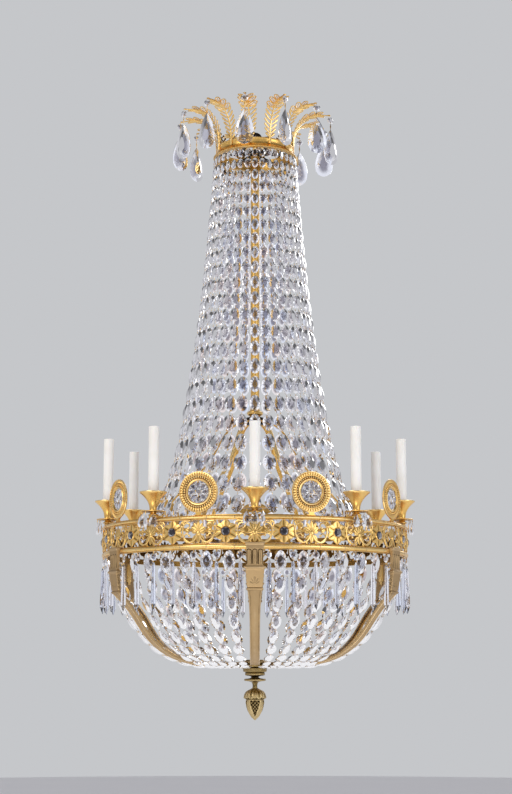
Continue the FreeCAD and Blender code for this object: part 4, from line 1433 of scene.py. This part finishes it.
@dataclass
class Pilasters:
    """Six pilasters that carry the basket from the gallery to the boss.

    Attributes:
        face: radius of the gallery's flat face, which the heads are screwed on.
        boss: radius of the boss, which the feet are screwed on.
        neck: how far below the gallery the shaft begins.
        foot: how far below the gallery the shaft ends.
        offsets: how far the shaft's middle lies outside the strands, from its top down.
    """

    face: float = 368.4
    boss: float = 28.5
    neck: float = 92.0
    foot: float = 255.0
    offsets: tuple[float, ...] = (11.5, 9.5, 4, -2, -7)

    def carving(self, across: Points, drops: Points) -> Points:
        """How deep the head is cut: three arched tongues, and a small fan below.

        Args:
            across: distances from the head's middle.
            drops: levels below the gallery's, as negative numbers.

        Returns:
            Depths of the same shape as both together.
        """
        cut = np.zeros(np.broadcast(across, drops).shape)
        for middle in (-12.6, 0, 12.6):
            beyond = np.maximum(drops + 12, 0)
            edge = np.abs(np.hypot(across - middle, beyond) - 4.6)
            cut = np.maximum(cut, 1.5 * np.exp(-(edge / 1) ** 2) * (drops < -4.5) * (drops > -40))
            vein = np.exp(-((across - middle) / 0.8) ** 2) * (drops < -15) * (drops > -38)
            cut = np.maximum(cut, 0.9 * vein)
        reach = np.hypot(across, drops + 84)
        bearing = np.arctan2(across, drops + 84)
        for middle in (-1, -0.5, 0, 0.5, 1):
            away = np.abs(bearing - middle) * reach / (0.6 + 0.05 * reach)
            within = (reach > 4) * (reach < 17 - 4.5 * abs(middle))
            cut = np.maximum(cut, 0.8 * np.exp(-away ** 2) * within)
        return cut

    def head(self) -> Casting:
        """The head: cornice, carved block, moulding and lower block."""
        outline = np.array((
            (8, 21, 10.4), (7.2, 22.4, 11.4), (5.4, 22.4, 11.4), (4.4, 21.2, 10.4), (3.4, 20.6, 9.8),
            (1.6, 20.4, 9.8), (0.8, 19.4, 8.6), (-1.5, 19.2, 8.6), (-42.5, 18.4, 8.6), (-43.2, 20.2, 9.2),
            (-44.8, 21.6, 9.8), (-45.4, 24.2, 11), (-48.8, 24.4, 11.2), (-49.6, 22.6, 10.2),
            (-51, 21.2, 9.6), (-52.2, 20.2, 9), (-60, 19.4, 8.8), (-78, 18, 8.4),
            (-89.6, 17, 7.8), (-90.4, 16.6, 7), (-91.2, 17, 7.8), (-92, 18.6, 9), (-95.2, 18.8, 9.2),
            (-96.2, 17.6, 8.2), (-97.2, 17.2, 7.6)))[::-1]
        drops = np.linspace(-97.2, 8, 128)
        half = np.interp(drops, outline[:, 0], outline[:, 1])
        deep = np.interp(drops, outline[:, 0], outline[:, 2])
        block = (drops < -53) & (drops > -89)
        half = half + 1.1 * block * np.abs(np.sin((drops + 53) * math.pi / 9))
        lean = np.maximum(-52 - drops, 0) * 0.14
        shares = np.linspace(-1, 1, 57)
        across = half[:, None] * shares
        cut = self.carving(across, np.broadcast_to(drops[:, None], across.shape))
        eased = 1.1 * np.clip((np.abs(shares) - 0.93) / 0.07, 0, 1) ** 2
        back = self.face - lean[:, None]
        face = np.stack([across, -(back + deep[:, None] - cut - eased),
                         np.broadcast_to(GALLERY + drops[:, None], across.shape)], axis=2)
        rear = np.stack([np.stack([half * hand, -back[:, 0], GALLERY + drops], axis=1)
                         for hand in (1, -1)], axis=1)
        steps = np.gradient(deep, drops)[:, None]
        # The tones paint shade in the carving and on the profile's steps, and a highlight on its proudest
        # faces.
        tones = np.clip(0.58 - 0.5 * cut - 0.35 * np.abs(steps) + 0.25 * (deep[:, None] > 9.4), 0, 1)
        tones = np.concatenate([tones, np.full((len(drops), 2), 0.5)], axis=1)
        return loft(np.concatenate([face, rear], axis=1), tone=tones)

    def shaft(self) -> tuple[Casting, Casting]:
        """The tapering shaft and the gilt strap that lines its inner face."""
        curve = natural_path(BOWL.knots, 400)
        shares = np.array([0.31 + 0.69 * k / 5 for k in range(5)])
        spots = evenly(curve, shares)
        ahead = unit(evenly(curve, shares + 0.01) - evenly(curve, shares - 0.01))
        out = np.stack([-ahead[:, 1], ahead[:, 0]], axis=1)
        seats = spots + out * np.array(self.offsets)[:, None]
        knots = [(self.face - 0.2, GALLERY - self.neck)] + [tuple(seat) for seat in seats] + [
            (radius, GALLERY - self.foot) for radius in (64, 44, self.boss + 0.2)]
        middle = natural_path(knots, 60)
        run = unit(np.gradient(middle, axis=0))
        outward = np.stack([-run[:, 1], run[:, 0]], axis=1)
        share = np.linspace(0, 1, 60)
        half = 11 + 6 * np.exp(-share / 0.1)
        deep = (3.8 - 0.9 * share)[:, None]
        sections = []
        for x, lift in (
            (-1, -0.9), (-1, 0.55), (-0.93, 1), (-0.8, 0.78), (-0.72, 0.5), (-0.4, 0.72),
            (0, 0.82), (0.4, 0.72), (0.72, 0.5), (0.8, 0.78), (0.93, 1), (1, 0.55), (1, -0.9),
        ):
            sections.append(fronted(middle + outward * lift * deep) + np.outer(x * half, (1, 0, 0)))
        # The tones paint highlights on the flutes' ridges and shade in their grooves and on the back edges.
        tones = np.array((0.35, 0.6, 0.95, 0.5, 0.3, 0.62, 0.72, 0.62, 0.3, 0.5, 0.95, 0.6, 0.35))
        top = [front(self.face - 0.3, GALLERY + drop) for drop in (-9, -30, -52)]
        lining = np.concatenate([top, fronted(middle - outward * deep * 0.9)])
        facing = np.concatenate([np.tile([0, 1, 0], (3, 1)), square_to(run)])
        strap = bar(lining, np.linspace(9.8, 9, 63), 0.55, facing)
        return loft(np.stack(sections, axis=1), tone=tones), strap

    def build(self) -> None:
        """Builds the six pilasters."""
        shaft, strap = self.shaft()
        one = self.head().join(shaft)
        turns = all_round(BAYS)
        for k, turn in enumerate(turns, start=1):
            one.around([turn]).finish("fluted_pilaster_%02d" % k, Finish.ANTIQUE, "pilaster_%02d" % k)
        strap.around(turns).finish("pilaster_linings", Finish.GILT)


@dataclass
class Finial:
    """Gathering plate, turned boss and the acorn below the basket.

    Attributes:
        top: level of the boss's top.
        sides: steps round the turned pieces.
    """

    top: float = -1312.0
    sides: int = 48

    def boss(self) -> Casting:
        """The turned boss with its slender neck."""
        profile = (
            (5.6, -53), (6.2, -50), (5.4, -46), (6.4, -40), (8.4, -37), (16, -35), (24.8, -34),
            (25.9, -32.6), (25.9, -30.6), (24.6, -29.2), (13, -28), (9.2, -26), (9, -24.6), (12, -22.6),
            (22, -21.4), (23.6, -20.2), (23.9, -18), (23.4, -15.4), (22.8, -14), (27.2, -12.6),
            (28.4, -11), (28.4, -4.4), (27.4, -3), (24, -1.6), (20, 0))
        # The tones paint shade in the grooves and highlights on the rounds, and are scaled down to darken
        # the whole boss with painted shade.
        tones = (0.2, 0.5, 0.3, 0.3, 0.4, 0.5, 0.8, 0.9, 0.8, 0.4, 0.2, 0.1, 0.1, 0.3, 0.6, 0.9, 0.8, 0.4,
                 0.1, 0.7, 0.8, 0.8, 0.7, 0.4, 0.3)
        return lathe([(r, self.top + z) for r, z in profile], self.sides, tones=0.85 * np.array(tones))

    def cap(self) -> Casting:
        """The acorn's cap: eight broad leaves over the tips of eight more."""
        top = self.top - 53
        # The core under the leaves is kept dark as painted shade between them.
        core = lathe([(r, top + z) for r, z in (
            (20, -24), (23.4, -23.6), (24.2, -22), (23.4, -14), (15.6, -5), (7, -0.6), (5, 0))],
            self.sides, tones=(0.1, 0.15, 0.15, 0.1, 0.1, 0.2, 0.3))
        for lift, shift, last in ((-0.9, 22.5, -23), (0, 0, -21.6)):
            knots = ((6.8 + lift, 0.6), (12 + lift, -2.4), (20.6 + lift, -7.2), (24.6 + lift, -14),
                     (25.9 + lift, last))
            curve = natural_path(knots, 12)
            run = unit(np.gradient(curve, axis=0))
            outward = np.stack([-run[:, 1], run[:, 0]], axis=1)
            shares = np.linspace(-1, 1, 11)
            lobe = np.interp(np.linspace(0, 1, 12), (0, 0.3, 0.62, 0.85, 0.95, 1),
                             (2, 5.4, 8.6, 8.9, 6.4, 2.2))
            swell = 0.9 * (1 - shares ** 2) ** 0.5 - 0.9 * np.exp(-(shares / 0.16) ** 2)
            sections = []
            for spot, level, out, half in zip(curve, curve[:, 1], outward, lobe):
                skin = spot + out * (swell + 0.5)[:, None]
                radii = skin[:, 0] - 0.012 * (shares * half) ** 2
                sections.append(
                    [front(r, top + z, x * half) for r, z, x in zip(radii, skin[:, 1], shares)]
                    + [front(radii[k] - 2.4, top + level, shares[k] * half) for k in (-1, 0)])
            # The leaves' tones paint highlights on their swells and shade in their middle vein and at their
            # edges.
            tones = np.concatenate([0.35 + 0.65 * np.clip(swell + 0.2, 0, 1), (0.1, 0.1)])
            core.join(loft(np.array(sections), tone=tones).around(all_round(8, shift)))
        return core

    def nut(self) -> Casting:
        """The acorn's nut, with four pointed panels of trellis between smooth ribs."""
        top = self.top - 77
        knots = ((21.2, 0), (22.2, -4), (21.7, -12), (20, -20), (16.6, -29), (11.8, -37.5),
                 (6.6, -44), (3, -47), (1.6, -48.8))
        rows, sides = 110, 240
        curve = natural_path(knots, rows)[::-1]
        drop = -curve[:, 1:]
        within = (circle(sides) + math.pi / 4) % (math.pi / 2) - math.pi / 4
        reach = 0.66 * np.sqrt(np.clip((40 - drop) / 40, 0, 1)) - np.abs(within)
        window = np.clip(reach / 0.06, 0, 1) * np.clip((drop - 2) / 2, 0, 1)
        strap = np.maximum(*(np.abs(np.cos((within * 15 + slant * drop) / 2))
                             for slant in (0.72, -0.72))) ** 7
        rim = np.exp(-((reach + 0.05) / 0.05) ** 2) * (drop > 2)
        sunk = window * (1 - strap)
        # Tones paint shade in the sunk trellis windows and a highlight along their rims.
        points = rings_about(curve[:, :1] - 2.2 * sunk + 0.25 * rim, curve[:, 1:] + top, sides)
        return loft(points, tone=np.clip(0.86 - 1.2 * sunk + 0.25 * rim, 0, 1))

    def build(self) -> None:
        """Builds the plate, the boss and the acorn."""
        plate = ((12, 0), (61.4, 0), (61.8, 1), (61.8, 3.2), (61, 4), (27.6, 4), (28.3, 5),
                 (28.3, 10.6), (27.4, 11.8), (24, 12.6), (23, 14), (21.4, 15.6), (12, 16))
        # The plate's tones paint highlights on its rounds and shade in its steps; the plate, boss and acorn
        # wear the antique brass darkened as painted shade.
        tones = (0.2, 0.4, 0.7, 0.7, 0.4, 0.1, 0.5, 0.9, 0.8, 0.3, 0.5, 0.8, 0.5)
        lathe(plate, 96, closed=True, tones=tones).moved(0, 0, self.top).finish(
            "gathering_plate", Finish.SHADED_ANTIQUE, "basket_plate")
        self.boss().finish("turned_boss", Finish.SHADED_ANTIQUE, "basket_boss")
        self.cap().finish("leaf_cap", Finish.SHADED_ANTIQUE, "acorn_cap")
        self.nut().finish("hatched_nut", Finish.SHADED_ANTIQUE, "acorn_nut")


# ------------------------------------------------------------------ studio


@dataclass
class Studio:
    """Floor, light, backdrop and the photograph's camera.

    Attributes:
        round_stops: brightness of the studio over each quarter turn.
        rise_stops: share of that brightness from straight down to straight up.
        for_metal: share of that brightness in reflections.
        pale: colour of the backdrop.
        paints: the floor's two colours, in clouds.
        glow: how brightly the floor shows in glass and metal.
        floor: level of the floor, in metres.
        spread: radius of the floor, in metres.
        sides: steps round the floor's rim.
        middle: the point that most lamps face, in metres.
        lens: focal length for the photograph's angle of view, in millimetres.
        place: where the camera stands, in metres.
        tilt: how far it looks up, in degrees.
    """

    round_stops: tuple[tuple[float, float], ...] = (
        (0.0, 0.84), (0.16, 0.84), (0.24, 1.0), (0.36, 1.0), (0.44, 0.55), (0.56, 0.55), (0.64, 1.0),
        (0.76, 1.0), (0.84, 0.84), (1.0, 0.84))
    rise_stops: tuple[tuple[float, float], ...] = (
        (0.0, 0.5), (0.26, 0.5), (0.36, 0.3), (0.42, 1.0), (0.71, 1.0), (0.77, 0.22), (0.85, 0.22),
        (0.9, 0.9), (1.0, 0.9))
    for_metal: Colour = (0.6, 0.6, 0.6)
    pale: Colour = (0.56, 0.57, 0.59)
    paints: tuple[Colour, Colour] = ((0.72, 0.72, 0.73), (0.76, 0.76, 0.76))
    glow: float = 0.33
    floor: float = -3.0
    spread: float = 20.0
    sides: int = 96
    middle: tuple[float, float, float] = (0.0, 0.0, -0.8)
    lens: float = 71.22
    place: tuple[float, float, float] = (0.00254, -3.8135, -1.29415)
    tilt: float = 9.464

    def camera(self) -> None:
        """Stands the camera where the photograph was taken from."""
        data = bpy.data.cameras.new("camera")
        data.lens = self.lens
        data.sensor_width = 36.0
        camera = bpy.data.objects.new("camera", data)
        camera.location = self.place
        camera.rotation_euler = (math.radians(90.0 + self.tilt), 0.0, 0.0)
        bpy.context.scene.collection.objects.link(camera)
        bpy.context.scene.camera = camera

    def lamp(self, name: str, spot: Sequence[float], target: Sequence[float], size: tuple[float, float],
             power: float, colour: Colour = (1.0, 1.0, 1.0), spread: float = 180.0) -> None:
        """Adds a soft box, which the glass shows in its polish but not through itself.

        Args:
            name: its name.
            spot: where it hangs, in metres.
            target: the point that it faces, in metres.
            size: its width and height, in metres.
            power: its power, in watts.
            colour: colour of its light.
            spread: angle of its beam, in degrees.
        """
        data = bpy.data.lights.new(name, "AREA")
        data.spread = math.radians(spread)
        data.shape = "RECTANGLE"
        data.size, data.size_y = size
        data.energy = power
        data.color = colour
        lamp = bpy.data.objects.new(name, data)
        lamp.location = spot
        lamp.visible_transmission = False
        aim = np.asarray(target, float) - np.asarray(spot, float)
        lamp.rotation_euler = Vector(aim.tolist()).to_track_quat("-Z", "Y").to_euler()
        bpy.context.scene.collection.objects.link(lamp)

    def backdrop(self) -> None:
        """A pale backdrop, and round it the soft boxes and black flags that glass needs."""
        world = bpy.data.worlds.new("studio")
        bpy.context.scene.world = world
        world.use_nodes = True
        tree = world.node_tree
        split = node(tree, "SeparateXYZ", Vector=node(tree, "TexCoord").outputs["Generated"]).outputs
        bearing = maths(tree, "ARCTAN2", split["Y"], split["X"])
        quarter = maths(tree, "FRACT", maths(tree, "MULTIPLY", bearing, 2.0 / math.pi))
        around = mixed(tree, 1.0, self.ramp(tree, quarter, self.round_stops),
                       self.ramp(tree, ranged(tree, split["Z"], -1.0, 1.0, "LINEAR"), self.rise_stops),
                       "MULTIPLY")
        path = node(tree, "LightPath").outputs
        on_metal = maths(tree, "SUBTRACT", path["Is Glossy Ray"], path["Is Transmission Ray"], clamp=True)
        dimmed = mixed(tree, on_metal, around, opaque(self.for_metal), "MULTIPLY")
        seen = mixed(tree, path["Is Camera Ray"], dimmed, opaque(self.pale))
        feed(tree, tree.nodes["Background"].inputs["Color"], seen)

    def ramp(self, tree: Tree, source: Socket, stops: Sequence[tuple[float, float]]) -> Socket:
        """A grey ramp over a source."""
        made = node(tree, "ValToRGB", Fac=source)
        elements = made.color_ramp.elements
        elements[0].position, elements[1].position = stops[0][0], stops[-1][0]
        for position, _ in stops[1:-1]:
            elements.new(position)
        for element, (_, value) in zip(elements, stops):
            element.color = opaque((value, value, value * 1.03))
        return made.outputs["Color"]

    def ground(self) -> None:
        """A pale round floor."""
        material, tree, shader = blank_material("floor_paint")
        shader.inputs["Roughness"].default_value = 0.7
        clouds = noise(tree, Scale=1.5, Detail=3.0)
        paint = mixed(tree, clouds, *(opaque(colour) for colour in self.paints))
        feed(tree, shader.inputs["Base Color"], paint)
        feed(tree, shader.inputs["Emission Color"], paint)
        path = node(tree, "LightPath").outputs
        seen = maths(tree, "MAXIMUM", path["Is Transmission Ray"], path["Is Glossy Ray"])
        feed(tree, shader.inputs["Emission Strength"], maths(tree, "MULTIPLY", seen, self.glow))
        rim = [(self.spread * math.sin(angle), self.spread * math.cos(angle), self.floor)
               for angle in circle(self.sides)]
        mesh = bpy.data.meshes.new("floor")
        mesh.from_pydata(rim, [], [tuple(range(self.sides))[::-1]])
        mesh.materials.append(material)
        ground = bpy.data.objects.new("floor", mesh)
        bpy.context.scene.collection.objects.link(ground)

    def build(self) -> None:
        """Sets up the studio."""
        bpy.context.scene.view_settings.view_transform = "Standard"
        self.camera()
        self.backdrop()
        self.ground()
        self.lamp("key_box", (-2.6, -3.2, 1.3), self.middle, (2.4, 3.0), 60.0, (1.0, 0.97, 0.92))
        self.lamp("fill_box", (3.0, -2.6, -0.4), self.middle, (2.2, 2.8), 34.0, (0.93, 0.96, 1.0))
        self.lamp("rim_box", (1.4, 3.2, 1.0), self.middle, (2.4, 2.0), 40.0)
        self.lamp("low_box", (-0.6, -2.4, -2.6), (0.0, 0.0, -1.15), (4.4, 1.4), 4.0, (1.0, 0.96, 0.9), 50.0)


def dress_hidden_metal() -> None:
    """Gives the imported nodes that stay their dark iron."""
    for name in ("suspension_rod", "crown_spider", "stay_hub", "hub_nut"):
        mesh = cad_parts[name].data
        mesh.materials.clear()
        mesh.materials.append(PALETTE.material(Finish.IRON))


def main() -> None:
    """Builds every part of the chandelier."""
    logging.basicConfig(level=logging.INFO, format="%(name)s: %(message)s")
    Studio().build()
    Crown().build()
    Stem().build()
    TENT.build()
    Gallery().build()
    Medallions().build()
    Lights().build()
    BOWL.build()
    Icicles().build()
    Pilasters().build()
    Finial().build()
    dress_hidden_metal()


if __name__ == "__main__":
    main()
